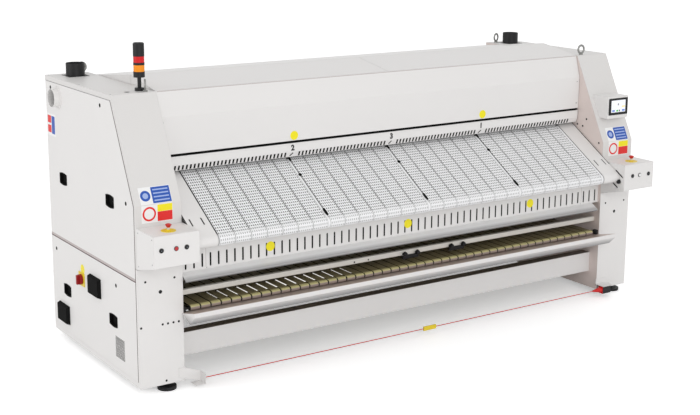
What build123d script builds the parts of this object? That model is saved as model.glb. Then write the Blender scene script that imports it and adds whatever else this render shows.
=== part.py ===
# Flatwork ironer with a heated cylinder, fed and returned at the front.
# Millimetres. X runs to the right as seen from the front, -Y is the front, +Z is up, Z = 0 is the floor
# and X = 0 is the middle of the machine. An outline in the YZ plane is written as (y, z).
import os
from math import atan2, cos, degrees, radians, sin

from build123d import *

os.makedirs("parts", exist_ok=True)

# ---- whole machine
overall_width = 4120.0  # outer face of one end cabinet to the other
cabinet_width = 300.0
rear_y = 810.0  # rear face
body_depth = 1388.0  # rear face to the front of the pillars
cabinet_height = 1815.0
top_setback = 313.0  # the top front edge stands this far behind the pillars
knee_height = 1192.0  # the sloping front meets the upright front here
ground_clearance = 45.0  # floor to the underside of the frame
sheet = 2.0  # sheet steel of all covers
seam = 3.0  # open joint between neighbouring covers
fit_gap = 0.3  # between a turning roller and the belts round it
journal_clearance = 0.05  # radial, shaft in bearing

# ---- end cabinets
frame_plate = 6.0
shaft_clearance = 3.0  # radial, shaft through a plain plate
cable_pass = (610.0, 400.0, 30.0)  # y, z and radius
rail_height = 34.0
rail_wall = 80.0
side_band_top = 33.0  # how far the cover turns down over the side
side_band_front = 27.0
pillar_height = 800.0
panel_split = 720.0  # joint between upper and lower side panels
panel_bottom = 81.0
panel_edge = 20.0  # folded edge of a side panel
grip_width = 122.0
grip_height = 68.0
grip_bulge = 8.0
grip_depth = 22.0
grip_y = (550.0, -203.0)
upper_grip_z = 1150.0
lower_grip_z = 382.0
vent_y = -292.0
vent_z = 222.0
vent_width = 130.0
vent_height = 130.0
vent_slit = 6.0
vent_slits = 8
service_cover_proud = 24.0
service_cover_chamfer = 18.0
service_covers = ((68.0, 535.0, 174.0, 130.0), (614.0, 206.0, 176.0, 130.0))  # y, z, width, height

# ---- hood over the cylinder
hood_rear_height = 1793.0
ridge_y = 106.0
ridge_height = 1875.0
hood_front_y = -255.0
hood_front_height = 1815.0
hood_knee_y = -301.0
hood_knee_height = 1655.0
hood_bottom_y = -298.0
hood_bottom_height = 1418.0
hood_skirt = 30.0

# ---- feed table
table_end = 160.0  # outermost belt to the end cabinet
feed_belt_count = 28
feed_belt_groups = 4
feed_belt_gap = 3.5
belt_thickness = 2.0
nose_y = -722.0
nose_z = 957.0
feed_nose_radius = 39.0  # over the belts
feed_incline = 31.4
feed_length = 635.0  # nose roller to drive roller
divider_width = 2.5
divider_height = 3.0
suction_box_height = 58.0
suction_box_setback = 62.0
suction_wall = 3.0
suction_margin = 30.0  # round the windows below the belts
end_cover_gap = 3.0
long_slot_places = (39.0, 117.0)  # from the cover's inner end
long_slot_rise = 132.0  # up the slope from the nose roller
long_slot_width = 9.0
long_slot_length = 62.0

# ---- guard strip over the feed nip
guard_front_y = -300.0
guard_top = 1390.0
guard_bend = 1345.0
guard_tip_y = -284.0
guard_tip = 1308.0
guard_back_y = -262.0
guard_rod_radius = 8.0
guard_pin_radius = 5.0
comb_plain = 80.0  # without slots, at each divider
comb_slot_width = 9.5
comb_slot_height = 22.0
comb_slots_per_group = 26
comb_lip = 6.5  # sheet below the slots

# ---- front below the feed table
apron_y = -550.0
apron_top = 930.0
apron_bottom = 730.0
apron_slot_inset = 35.0  # outermost slot to the end cabinet
apron_slot_count = 61
apron_slot_width = 12.0
apron_slot_corner = 3.5
apron_slot_low = 745.0
apron_slot_high = 832.0
apron_return = 39.0  # folded back under the belts
gutter_shape = ((30.0, 0.0), (0.0, 0.0), (-54.0, -32.0), (-62.0, -36.0), (-62.0, -48.0),
                (-42.0, -52.0))  # y and z from the apron's lower edge
gutter_end_gap = 60.0
bar_y = -520.0
bar_low = 575.0
bar_height = 35.0
bar_depth = 30.0
bar_corner = 5.0
clamp_x = (10.0, 415.0)
clamp_width = 130.0
clamp_plate = 10.0
clamp_drop = 24.0
clamp_lug = 18.0

# ---- exit belts and tray
exit_belt_count = 47
exit_belt_gap = 10.7
exit_end_gap = 51.0  # outermost belt to the end cabinet
exit_nose_radius = 17.0  # over the belts
exit_drive_radius = 34.0
exit_nose_y = -553.0
exit_top = 515.0
exit_length = 490.0
exit_journal = 8.0
exit_nose_bearing_size = 32.0
tray_back_y = -490.0
tray_back_z = 460.0
tray_tip_y = -745.0
tray_tip_z = 523.0
tray_lip_z = 495.0
tray_under_y = -680.0
tray_under_z = 436.0
tray_overhang = 10.0  # in front of the cabinets, past their inner faces
tray_bracket = 4.0
tray_bracket_front_y = -572.0
tray_bracket_low = 415.0
beam_y = -490.0
beam_low = 172.0
beam_height = 150.0
beam_depth = 80.0
beam_wall = 5.0

# ---- ironing cylinder and its belts
cylinder_radius = 300.0
cylinder_y = 170.0
cylinder_z = 1330.0
cylinder_end_gap = 110.0  # cylinder to the end cabinet
cylinder_wall = 15.0
cylinder_head = 20.0
journal_radius = 45.0
journal_bore = 20.0
journal_reach = 140.0  # past the inner face of the end cabinet
ironing_belt_thickness = 3.0
belt_roller_radius = 40.0
press_angle = 140.0  # round the cylinder from the rear, over the top
return_angle = 212.0
guide_roller_y = 560.0
guide_roller_z = 800.0
tension_roller_y = 560.0
tension_roller_z = 1735.0
roller_journal = 15.0
bearing_size = 84.0
bearing_depth = 22.0
cylinder_bearing_size = 190.0
cylinder_bearing_depth = 45.0
exit_bearing_size = 60.0
shaft_setback = 2.0  # shaft end inside its bearing's outer face
ironing_belt_overhang = 20.0
belt_roller_overhang = 30.0

# ---- drives and fans
cylinder_gearbox = 200.0
cylinder_gearbox_depth = 90.0
cylinder_motor_radius = 75.0
cylinder_motor_length = 260.0
feed_gearbox = 90.0
feed_gearbox_depth = 44.0
feed_motor_radius = 22.0
feed_motor_length = 120.0
fan_drop = 300.0  # below the cabinet's top
fan_offset = 20.0  # in front of the duct
fan_radius = 110.0
fan_eye_radius = 70.0
fan_half_width = 55.0
fan_motor_length = 60.0
fan_outlet_start = 100.0
fan_outlet_wall = 3.0

# ---- control boxes
box_depth = 233.0
box_top = 1057.0
box_front_bottom = 862.0
box_rear_bottom = 803.0
box_wall = 2.0
button_z = 969.0
button_radius = 11.0
button_bezel_radius = 15.0
button_bezel_height = 3.0
button_proud = 3.0  # beyond its bezel
button_length = 24.0
button_insets = {"left_outer": 250.0, "left_stop": 154.0, "left_inner": 86.0,
                 "right_inner": 84.0, "right_start": 157.0, "right_outer": 251.0}  # from the box's inner face
estop_inset = 158.0
estop_y = -720.0
estop_disc_radius = 45.0
estop_disc_height = 3.0
estop_collar_radius = 15.0
estop_collar_height = 6.0
estop_stem_radius = 9.0
estop_head_radius = 20.0
estop_head_bottom = 20.0  # above the box
estop_head_top = 45.0
estop_head_rim = 7.0
estop_stem_length = 18.0
tension_slots = ((-35.0, 28.0, 88.0), (-2.0, -66.0, 53.0))  # from the nose roller: y, z and length
tension_slot_width = 11.0

# ---- operator panel, main switch, signal tower
hmi_inset = 146.5  # middle of the panel, from the cabinet's inner face
hmi_border_left = 10.5
hmi_border_right = 5.0
hmi_top = 1530.0
hmi_bottom = 1366.0
hmi_front_y = -570.0
hmi_bezel_width = 194.0
hmi_bezel_height = 126.0
hmi_panel_depth = 36.0
hmi_panel_proud = 3.0
hmi_panel_lip = 8.0
hmi_border_bottom = 25.0
hmi_bezel_corner = 6.0
switch_y = 290.0
switch_z = 527.0
switch_plate = 90.0
switch_knob_radius = 34.0
switch_knob_depth = 34.0
switch_plate_height = 6.0
switch_shaft_radius = 5.0
switch_grip_width = 18.0
switch_grip_length = 62.0
tower_inset = 70.0
tower_y = -180.0
tower_foot_radius = 29.5
tower_stem_radius = 12.0
tower_radius = 35.0
tower_foot_height = 18.0
tower_base_rise = 84.0  # these are above the cabinet
amber_rise = 119.0
red_rise = 175.0
tower_height = 297.0
amber_height = 41.0
red_height = 38.0
tower_chamfer = 6.0
lens_inset = 1.0

# ---- ducts, lifting eyes, feet, rope
duct_inset = 140.0
duct_y = 670.0
duct_radius = 62.5
duct_plate = 140.0
duct_height = 85.0
spigot_y = 601.0
spigot_z = 1688.0
spigot_radius = 62.0
spigot_flange_radius = 74.5
spigot_proud = 44.0
spigot_wall = 3.0
spigot_flange = 6.0
eye_inset = 60.0
eye_y = (-240.0, 755.0)
eye_radius = 37.5
eye_hole = 21.0
eye_thickness = 12.0
eye_base = 10.0
eye_base_radius = 14.0
eye_sink = 5.0  # the ring's overlap with its base
foot_insets = (100.0, 205.0)  # left and right, from the cabinet's inner face
foot_y = (-530.0, 745.0)
foot_radius = 60.0
foot_height = 20.0
foot_stem_radius = 12.0
cable_hole_inset = 161.0
cable_hole_y = -195.0
cable_hole_radius = 19.0
rope_y = -630.0
rope_z = 57.0
rope_diameter = 6.0
rope_left_reach = 110.0  # rope's left end to the end cabinet
rope_right_reach = 88.0
rope_tag_place = 1708.0  # from the rope's left end
rope_tag_length = 107.0
rope_tag_height = 30.0
rope_switch_inset = 80.0
rope_boot_length = 84.0
rope_switch_height = 58.0
rope_switch_depth = 46.0
rope_switch_chamfer = 18.0
rope_boot_radius = 19.0
rope_tag_thickness = 10.0
bracket_sheet = 3.0
bracket_depth = 74.0
left_bracket_top = 130.0
left_bracket_low = 22.0
left_bracket_half = 40.0
left_bracket_rise = 30.0
left_bracket_cut = 60.0
right_bracket_width = 100.0
right_bracket_height = 44.0
right_bracket_extra = 12.0

# ---- worked out from the sizes above
outer_x = overall_width / 2
inner_x = outer_x - cabinet_width
working_width = 2 * (inner_x - table_end)
front_y = rear_y - body_depth
top_front_y = front_y + top_setback
slope = top_setback / (cabinet_height - knee_height)
hood_half = inner_x - seam
belt_half = working_width / 2
feed_pitch = working_width / feed_belt_count
group_width = working_width / feed_belt_groups
comb_pitch = (group_width - comb_plain) / comb_slots_per_group
apron_slot_pitch = 2 * (inner_x - apron_slot_inset) / (apron_slot_count - 1)
exit_half = inner_x - exit_end_gap
exit_pitch = 2 * exit_half / exit_belt_count
cylinder_half_length = inner_x - cylinder_end_gap
button_places = {name: inset + inner_x if name.startswith("right") else -inset - inner_x
                 for name, inset in button_insets.items()}
estop_x = inner_x + estop_inset
tower_x = -inner_x - tower_inset
tower_foot_top = cabinet_height + tower_foot_height
tower_base_low = cabinet_height + tower_base_rise
amber_low = cabinet_height + amber_rise
amber_high = amber_low + amber_height
red_low = cabinet_height + red_rise
red_high = red_low + red_height
tower_top = cabinet_height + tower_height
duct_x = inner_x + duct_inset
eye_x = inner_x + eye_inset
foot_x = (-inner_x - foot_insets[0], inner_x + foot_insets[1])
cable_hole_x = -inner_x - cable_hole_inset
rope_left = rope_left_reach - inner_x
rope_right = inner_x - rope_right_reach
rope_tag_left = rope_left + rope_tag_place
rope_tag_right = rope_tag_left + rope_tag_length
rope_switch_right = inner_x + rope_switch_inset
drive_y = nose_y + feed_length * cos(radians(feed_incline))
drive_z = nose_z + feed_length * sin(radians(feed_incline))
belt_roller_orbit = cylinder_radius + ironing_belt_thickness + belt_roller_radius + 2 * fit_gap
press_y = cylinder_y + belt_roller_orbit * cos(radians(press_angle))
press_z = cylinder_z + belt_roller_orbit * sin(radians(press_angle))
return_y = cylinder_y + belt_roller_orbit * cos(radians(return_angle))
return_z = cylinder_z + belt_roller_orbit * sin(radians(return_angle))
exit_nose_z = exit_top - exit_nose_radius
exit_drive_z = exit_top - exit_drive_radius
box_front_y = front_y - box_depth
estop_dome_radius = (estop_head_radius ** 2 + estop_head_rim ** 2) / (2 * estop_head_rim)
estop_half_drop = estop_dome_radius - (estop_dome_radius ** 2 - estop_head_radius ** 2 / 4) ** 0.5
guard_rod_y = guard_back_y - guard_rod_radius
guard_rod_z = guard_top - sheet - guard_rod_radius


def slant_y(z):
    """The cabinet's outer front line at height z."""
    return front_y + max(0.0, z - knee_height) * slope


def closed_profile(points, x):
    """A flat face with straight edges across the YZ plane at x."""
    with BuildSketch(Plane.YZ.offset(x)) as face:
        with BuildLine():
            Polyline(*points, close=True)
        make_face()
    return face.sketch


def folded_profile(points, thickness, x, side):
    """The edge of a folded sheet whose outer face follows the points."""
    with BuildSketch(Plane.YZ.offset(x)) as face:
        with BuildLine() as line:
            Polyline(*points)
            offset(amount=thickness, side=side, kind=Kind.INTERSECTION)
        make_face(line.edges())
    return face.sketch


def roller(y, z, radius, half_length, shaft_radius, shaft_end):
    """A roller with a journal at each end, revolved about its own axis."""
    with BuildSketch(Plane.XY.offset(z)) as half:
        with BuildLine():
            Polyline((-shaft_end, y), (-shaft_end, y + shaft_radius), (-half_length, y + shaft_radius),
                     (-half_length, y + radius), (half_length, y + radius), (half_length, y + shaft_radius),
                     (shaft_end, y + shaft_radius), (shaft_end, y), close=True)
        make_face()
    revolve(half.sketch, axis=Axis((0, y, z), (1, 0, 0)))


# ---- end cabinets ---------------------------------------------------------------------------------
cabinet_outline = [(rear_y, ground_clearance), (rear_y, cabinet_height), (top_front_y, cabinet_height),
                   (front_y, knee_height), (front_y, ground_clearance)]

with BuildPart() as side_frame_right:
    with BuildSketch(Plane.YZ.offset(inner_x)) as wall:
        with BuildLine():
            Polyline(*cabinet_outline, close=True)
        make_face()
        offset(amount=-sheet, kind=Kind.INTERSECTION)
    extrude(amount=frame_plate)
    rail_depth = body_depth - 2 * sheet
    with BuildSketch(Plane.XY.offset(ground_clearance)):
        with Locations((inner_x + (cabinet_width - sheet) / 2, front_y + body_depth / 2)):
            Rectangle(cabinet_width - sheet, rail_depth)
            Rectangle(cabinet_width - sheet - 2 * rail_wall, rail_depth - 2 * rail_wall, mode=Mode.SUBTRACT)
    extrude(amount=rail_height)
    with BuildSketch(Plane.XZ.offset(-rear_y)):
        rear_middle = (ground_clearance + cabinet_height - side_band_top) / 2
        with Locations((inner_x + (cabinet_width - sheet) / 2, rear_middle)):
            Rectangle(cabinet_width - sheet, cabinet_height - side_band_top - ground_clearance)
    extrude(amount=sheet)
    for hole_y, hole_z, hole_radius in (
        (cylinder_y, cylinder_z, journal_radius + shaft_clearance),
        (drive_y, drive_z, roller_journal + shaft_clearance),
        (guard_rod_y, guard_rod_z, guard_pin_radius + journal_clearance),
        cable_pass,
    ):
        with BuildSketch(Plane.YZ.offset(inner_x)):
            with Locations((hole_y, hole_z)):
                Circle(hole_radius)
        extrude(amount=frame_plate, mode=Mode.SUBTRACT)
side_frame_right.part.label = "side_frame_right"
export_step(side_frame_right.part, "parts/side_frame_right.step")

with BuildPart() as side_frame_left:
    add(mirror(side_frame_right.part, about=Plane.YZ, mode=Mode.PRIVATE))
side_frame_left.part.label = "side_frame_left"
export_step(side_frame_left.part, "parts/side_frame_left.step")

band_top_z = cabinet_height - side_band_top
cover_path = [(rear_y, cabinet_height), (top_front_y, cabinet_height), (front_y, knee_height),
              (front_y, pillar_height + seam)]
cover_band = cover_path + [(front_y + side_band_front, pillar_height + seam),
                           (front_y + side_band_front, knee_height),
                           (slant_y(band_top_z) + side_band_front, band_top_z), (rear_y, band_top_z)]

with BuildPart() as end_cover_right:
    extrude(folded_profile(cover_path, sheet, inner_x, Side.LEFT), amount=cabinet_width)
    extrude(closed_profile(cover_band, outer_x - sheet), amount=sheet)
    with BuildSketch(Plane.XY.offset(band_top_z)):
        with Locations((inner_x + cabinet_width / 2, rear_y - sheet / 2)):
            Rectangle(cabinet_width, sheet)
    extrude(amount=side_band_top)
    with BuildSketch(Plane.XY.offset(cabinet_height - sheet)):
        with Locations((duct_x, duct_y)):
            Circle(duct_radius - sheet)
    extrude(amount=sheet, mode=Mode.SUBTRACT)
end_cover_right.part.label = "end_cover_right"
export_step(end_cover_right.part, "parts/end_cover_right.step")

with BuildPart() as end_cover_left:
    add(mirror(end_cover_right.part, about=Plane.YZ, mode=Mode.PRIVATE))
    with BuildSketch(Plane.XY.offset(cabinet_height - sheet)):
        with Locations((cable_hole_x, cable_hole_y)):
            Circle(cable_hole_radius)
    extrude(amount=sheet, mode=Mode.SUBTRACT)
end_cover_left.part.label = "end_cover_left"
export_step(end_cover_left.part, "parts/end_cover_left.step")

with BuildPart() as pillar_covers:
    cover_height = pillar_height - ground_clearance
    with BuildSketch(Plane.XY.offset(ground_clearance)):
        with Locations((inner_x + cabinet_width / 2, front_y + sheet / 2)):
            Rectangle(cabinet_width, sheet)
        with Locations((outer_x - sheet / 2, front_y + side_band_front / 2)):
            Rectangle(sheet, side_band_front)
    extrude(amount=cover_height)
    mirror(about=Plane.YZ)
pillar_covers.part.label = "pillar_covers"
export_step(pillar_covers.part, "parts/pillar_covers.step")

panel_rear = rear_y - sheet - seam / 3
panel_front = front_y + side_band_front + seam
upper_top = band_top_z - seam
upper_bottom = panel_split + seam / 2
upper_outline = [(panel_rear, upper_bottom), (panel_rear, upper_top),
                 (slant_y(upper_top) + side_band_front + seam, upper_top), (panel_front, knee_height),
                 (panel_front, upper_bottom)]
lower_outline = [(panel_rear, panel_bottom), (panel_rear, panel_split - seam / 2),
                 (panel_front, panel_split - seam / 2), (panel_front, panel_bottom)]


def tray_panel(outline):
    """A side panel with its four edges folded inwards."""
    back = outer_x - panel_edge
    extrude(closed_profile(outline, back), amount=panel_edge)
    with BuildSketch(Plane.YZ.offset(back)) as hollow:
        with BuildLine():
            Polyline(*outline, close=True)
        make_face()
        offset(amount=-sheet, kind=Kind.INTERSECTION)
    extrude(hollow.sketch, amount=panel_edge - sheet, mode=Mode.SUBTRACT)


def grip_outline(y, z, inset, x):
    """A grip's outline, straight at the sides and bowed above and below."""
    half = grip_width / 2 - inset
    low = z - grip_height / 2 + inset
    high = z + grip_height / 2 - inset
    with BuildSketch(Plane.YZ.offset(x)) as outline:
        with BuildLine():
            ThreePointArc((y - half, high), (y, high + grip_bulge), (y + half, high))
            Line((y + half, high), (y + half, low))
            ThreePointArc((y + half, low), (y, low - grip_bulge), (y - half, low))
            Line((y - half, low), (y - half, high))
        make_face()
    return outline.sketch


def cut_grips(z):
    """The panel's openings for its two grips."""
    for y in grip_y:
        extrude(grip_outline(y, z, 3.0, outer_x - sheet), amount=sheet, mode=Mode.SUBTRACT)


with BuildPart() as side_panels_upper:
    tray_panel(upper_outline)
    cut_grips(upper_grip_z)
    right_upper = side_panels_upper.part
    left_upper = mirror(right_upper, about=Plane.YZ, mode=Mode.PRIVATE)
    with BuildSketch(Plane.YZ.offset(-outer_x)) as spigot_hole:
        with Locations((spigot_y, spigot_z)):
            Circle(spigot_radius + fit_gap)
    add(left_upper)
    extrude(spigot_hole.sketch, amount=sheet, mode=Mode.SUBTRACT)
side_panels_upper.part.label = "side_panels_upper"
export_step(side_panels_upper.part, "parts/side_panels_upper.step")

with BuildPart() as side_panels_lower:
    tray_panel(lower_outline)
    cut_grips(lower_grip_z)
    mirror(about=Plane.YZ)
    with BuildSketch(Plane.YZ.offset(-outer_x)):
        with Locations((vent_y, vent_z)):
            with GridLocations(0, vent_height / vent_slits, 1, vent_slits):
                Rectangle(vent_width, vent_slit)
    extrude(amount=sheet, mode=Mode.SUBTRACT)
side_panels_lower.part.label = "side_panels_lower"
export_step(side_panels_lower.part, "parts/side_panels_lower.step")

# grip cups, flanged on the panel's outside and closed behind it, and the two covers on the left side
with BuildPart() as panel_fittings:
    for grip_z in (upper_grip_z, lower_grip_z):
        for y in grip_y:
            extrude(grip_outline(y, grip_z, 0.0, outer_x), amount=sheet)
            extrude(grip_outline(y, grip_z, 3.5, outer_x - grip_depth), amount=grip_depth)
            extrude(grip_outline(y, grip_z, 6.0, outer_x - grip_depth + sheet), amount=grip_depth, mode=Mode.SUBTRACT)
    mirror(about=Plane.YZ)
    for cover_y, cover_z, cover_width, cover_tall in service_covers:
        with BuildSketch(Plane.YZ.offset(-outer_x)) as foot:
            with Locations((cover_y, cover_z)):
                Rectangle(cover_width, cover_tall)
        with BuildSketch(Plane.YZ.offset(-outer_x - service_cover_proud)) as face:
            with Locations((cover_y, cover_z)):
                Rectangle(cover_width - service_cover_chamfer, cover_tall - service_cover_chamfer)
        loft([foot.sketch.face(), face.sketch.face()])
panel_fittings.part.label = "panel_fittings"
export_step(panel_fittings.part, "parts/panel_fittings.step")

# ---- back and hood --------------------------------------------------------------------------------
with BuildPart() as rear_cover:
    with BuildSketch(Plane.XY.offset(ground_clearance + rail_height)):
        with Locations((0, rear_y - sheet / 2)):
            Rectangle(2 * inner_x, sheet)
    extrude(amount=hood_rear_height - sheet - ground_clearance - rail_height)
rear_cover.part.label = "rear_cover"
export_step(rear_cover.part, "parts/rear_cover.step")


def end_walls(outline, half_length):
    """Sheet ends that close a hood piece at both sides."""
    extrude(closed_profile(outline, half_length - sheet), amount=sheet)
    extrude(closed_profile(outline, -half_length), amount=sheet)


ridge_gap = seam / 2
hood_base = hood_front_height - side_band_top
rear_slope = (ridge_height - hood_rear_height) / (rear_y - ridge_y)
lid_slope = (ridge_height - hood_front_height) / (ridge_y - hood_front_y)
rear_ridge = (ridge_y + ridge_gap, ridge_height - ridge_gap * rear_slope)
lid_ridge = (ridge_y - ridge_gap, ridge_height - ridge_gap * lid_slope)

with BuildPart() as hood_rear:
    rear_path = [(rear_y, hood_rear_height), rear_ridge, (rear_ridge[0], rear_ridge[1] - hood_skirt)]
    extrude(folded_profile(rear_path, sheet, -hood_half, Side.LEFT), amount=2 * hood_half)
    wall_rear = rear_y - sheet
    end_walls([(wall_rear, hood_rear_height), rear_ridge, (rear_ridge[0], hood_base), (wall_rear, hood_base)],
              hood_half)
hood_rear.part.label = "hood_rear"
export_step(hood_rear.part, "parts/hood_rear.step")

with BuildPart() as top_lids:
    lid_front = (hood_front_y + seam, hood_front_height + seam * lid_slope)
    lid_path = [(lid_ridge[0], lid_ridge[1] - hood_skirt), lid_ridge, lid_front,
                (lid_front[0], lid_front[1] - hood_skirt)]
    extrude(folded_profile(lid_path, sheet, ridge_gap, Side.LEFT), amount=hood_half - ridge_gap)
    lid_end = [lid_ridge, lid_front, (lid_front[0], hood_base), (lid_ridge[0], hood_base)]
    extrude(closed_profile(lid_end, hood_half - sheet), amount=sheet)
    mirror(about=Plane.YZ)
top_lids.part.label = "top_lids"
export_step(top_lids.part, "parts/top_lids.step")

with BuildPart() as hood_front:
    front_path = [(hood_front_y, hood_front_height), (hood_knee_y, hood_knee_height),
                  (hood_bottom_y, hood_bottom_height), (hood_bottom_y + hood_skirt, hood_bottom_height)]
    extrude(folded_profile(front_path, sheet, -hood_half, Side.LEFT), amount=2 * hood_half)
    front_end = [(hood_front_y, hood_front_height), (hood_knee_y, hood_knee_height),
                 (hood_bottom_y, hood_bottom_height), (hood_bottom_y + hood_skirt, hood_bottom_height),
                 (hood_front_y, hood_front_height - hood_skirt)]
    end_walls(front_end, hood_half)
hood_front.part.label = "hood_front"
export_step(hood_front.part, "parts/hood_front.step")

# ---- guard strip: a sprung flap with comb slots, hung on a rod above the feed nip -------------------
guard_half = inner_x - 2 * seam
group_places = [(i + 0.5) * group_width - belt_half for i in range(feed_belt_groups)]

with BuildPart() as finger_guard:
    guard_path = [(guard_back_y, guard_top), (guard_front_y, guard_top), (guard_front_y, guard_bend),
                  (guard_tip_y, guard_tip)]
    extrude(folded_profile(guard_path, sheet, -guard_half, Side.LEFT), amount=2 * guard_half)
    with BuildSketch(Plane.YZ.offset(-guard_half)):
        with Locations((guard_rod_y, guard_rod_z)):
            Circle(guard_rod_radius)
    extrude(amount=2 * guard_half)
    with BuildSketch(Plane.YZ.offset(-inner_x - frame_plate)):
        with Locations((guard_rod_y, guard_rod_z)):
            Circle(guard_pin_radius)
    extrude(amount=2 * (inner_x + frame_plate))
    slot_z = guard_tip + comb_lip + comb_slot_height / 2
    with BuildSketch(Plane.XZ.offset(-guard_back_y)) as comb:
        for place in group_places:
            with Locations((place, slot_z)):
                with GridLocations(comb_pitch, 0, comb_slots_per_group, 1):
                    Rectangle(comb_slot_width, comb_slot_height)
    extrude(comb.sketch, amount=guard_back_y - guard_front_y + sheet, mode=Mode.SUBTRACT)
finger_guard.part.label = "finger_guard"
export_step(finger_guard.part, "parts/finger_guard.step")

# ---- feed table -----------------------------------------------------------------------------------
incline = Plane(origin=(0, nose_y, nose_z), x_dir=(1, 0, 0),
                z_dir=(0, -sin(radians(feed_incline)), cos(radians(feed_incline))))


def loop_face(stations, extra, x, flats):
    """The area inside a belt's line. A station is a roller's (y, z), its radius, where the belt meets it
    and how far the belt turns round it, in degrees. With flats, each turn is that many facets."""
    with BuildSketch(Plane.YZ.offset(x)) as area:
        with BuildLine():
            ends = []
            for (y, z), radius, start, turn in stations:
                reach = radius + extra if turn > 0 else radius - extra
                if flats:
                    step = radians(turn) / flats
                    far = reach / cos(step / 2)
                    ends.extend((y + far * cos(radians(start) + step * (k + 0.5)),
                                 z + far * sin(radians(start) + step * (k + 0.5))) for k in range(flats))
                else:
                    arc = CenterArc((y, z), reach, start, turn)
                    ends.extend((arc @ 0, arc @ 1))
            if flats:
                Polyline(*ends, close=True)
            else:
                for leave, arrive in zip(ends[1::2], ends[2::2] + ends[:1]):
                    if (arrive - leave).length > 0.01:
                        Line(leave, arrive)
        make_face()
    return area.sketch


def belt(stations, x, width, thickness, flats=0):
    """One endless belt."""
    outer_edge = loop_face(stations, thickness, x, flats).face().outer_wire()
    inner_edge = loop_face(stations, 0.0, x, flats).face().outer_wire()
    return Solid.extrude(Face(outer_edge, [inner_edge]), Vector(width, 0, 0))


feed_inner = feed_nose_radius - belt_thickness
feed_stations = [((nose_y, nose_z), feed_inner, feed_incline + 90, 180),
                 ((drive_y, drive_z), feed_inner, feed_incline - 90, 180)]
feed_roller_radius = feed_inner - fit_gap
feed_roller_half = belt_half + seam

with BuildPart() as feed_belts:
    feed_belt = belt(feed_stations, feed_belt_gap / 2, feed_pitch - feed_belt_gap, belt_thickness, flats=5)
    with Locations(*[(i * feed_pitch - belt_half, 0, 0) for i in range(feed_belt_count)]):
        add(feed_belt)
feed_belts.part.label = "feed_belts"
export_step(feed_belts.part, "parts/feed_belts.step")

with BuildPart() as feed_nose_roller:
    roller(nose_y, nose_z, feed_roller_radius, feed_roller_half, roller_journal,
           inner_x + box_wall + bearing_depth - shaft_setback)
feed_nose_roller.part.label = "feed_nose_roller"
export_step(feed_nose_roller.part, "parts/feed_nose_roller.step")

with BuildPart() as feed_drive_roller:
    roller(drive_y, drive_z, feed_roller_radius, feed_roller_half, roller_journal,
           inner_x + frame_plate + bearing_depth + feed_gearbox_depth)
feed_drive_roller.part.label = "feed_drive_roller"
export_step(feed_drive_roller.part, "parts/feed_drive_roller.step")

# hollow box inside the belt loops, open upwards below each group of belts, with the strips between groups
box_length = feed_length - 2 * suction_box_setback
box_middle = feed_length / 2
with BuildPart() as suction_box:
    half_height = suction_box_height / 2
    with BuildSketch(incline.offset(-half_height)) as outside:
        with Locations((0, box_middle)):
            Rectangle(2 * inner_x, box_length)
    extrude(outside.sketch, amount=suction_box_height)
    with BuildSketch(incline.offset(-half_height + suction_wall)) as inside:
        with Locations((0, box_middle)):
            Rectangle(2 * inner_x - 2 * suction_wall, box_length - 2 * suction_wall)
    extrude(inside.sketch, amount=suction_box_height - 2 * suction_wall, mode=Mode.SUBTRACT)
    with BuildSketch(incline.offset(half_height - suction_wall)) as windows:
        for place in group_places:
            with Locations((place, box_middle)):
                with GridLocations(group_width / 2, 0, 2, 1):
                    Rectangle(group_width / 2 - suction_margin, box_length - 2 * suction_margin)
    extrude(windows.sketch, amount=suction_wall, mode=Mode.SUBTRACT)
    for i in range(1, feed_belt_groups):
        with BuildSketch(incline.offset(half_height)) as divider:
            with Locations((i * group_width - belt_half, box_middle)):
                Rectangle(divider_width, box_length)
        extrude(divider.sketch, amount=feed_nose_radius + divider_height - half_height)
suction_box.part.label = "suction_box"
export_step(suction_box.part, "parts/suction_box.step")

with BuildPart() as feed_end_covers:
    cover_start = feed_roller_half + end_cover_gap
    cover_length = inner_x - end_cover_gap - cover_start
    shell_stations = [(place, radius + belt_thickness - sheet, start, turn)
                      for place, radius, start, turn in feed_stations]
    add(belt(shell_stations, cover_start, cover_length, sheet))
    with BuildSketch(incline.offset(feed_nose_radius - 2 * sheet)) as long_slots:
        for place in long_slot_places:
            with Locations((cover_start + place, long_slot_rise)):
                Rectangle(long_slot_width, long_slot_length)
    extrude(long_slots.sketch, amount=3 * sheet, mode=Mode.SUBTRACT)
    mirror(about=Plane.YZ)
feed_end_covers.part.label = "feed_end_covers"
export_step(feed_end_covers.part, "parts/feed_end_covers.step")

# ---- front below the feed table -------------------------------------------------------------------
with BuildPart() as slotted_apron:
    apron_path = [(apron_y + apron_return, apron_top), (apron_y, apron_top), (apron_y, apron_bottom)]
    extrude(folded_profile(apron_path, sheet, -inner_x, Side.LEFT), amount=2 * inner_x)
    with BuildSketch(Plane.XZ.offset(-apron_y)) as apron_slots:
        with Locations((0, (apron_slot_low + apron_slot_high) / 2)):
            with GridLocations(apron_slot_pitch, 0, apron_slot_count, 1):
                Rectangle(apron_slot_width, apron_slot_high - apron_slot_low)
        chamfer(apron_slots.vertices(), length=apron_slot_corner)
    extrude(apron_slots.sketch, amount=-sheet, mode=Mode.SUBTRACT)
slotted_apron.part.label = "slotted_apron"
export_step(slotted_apron.part, "parts/slotted_apron.step")

with BuildPart() as gutter:
    gutter_path = [(apron_y + reach, apron_bottom + rise) for reach, rise in gutter_shape]
    gutter_half = inner_x - gutter_end_gap
    extrude(folded_profile(gutter_path, sheet, -gutter_half, Side.LEFT), amount=2 * gutter_half)
gutter.part.label = "gutter"
export_step(gutter.part, "parts/gutter.step")

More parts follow.
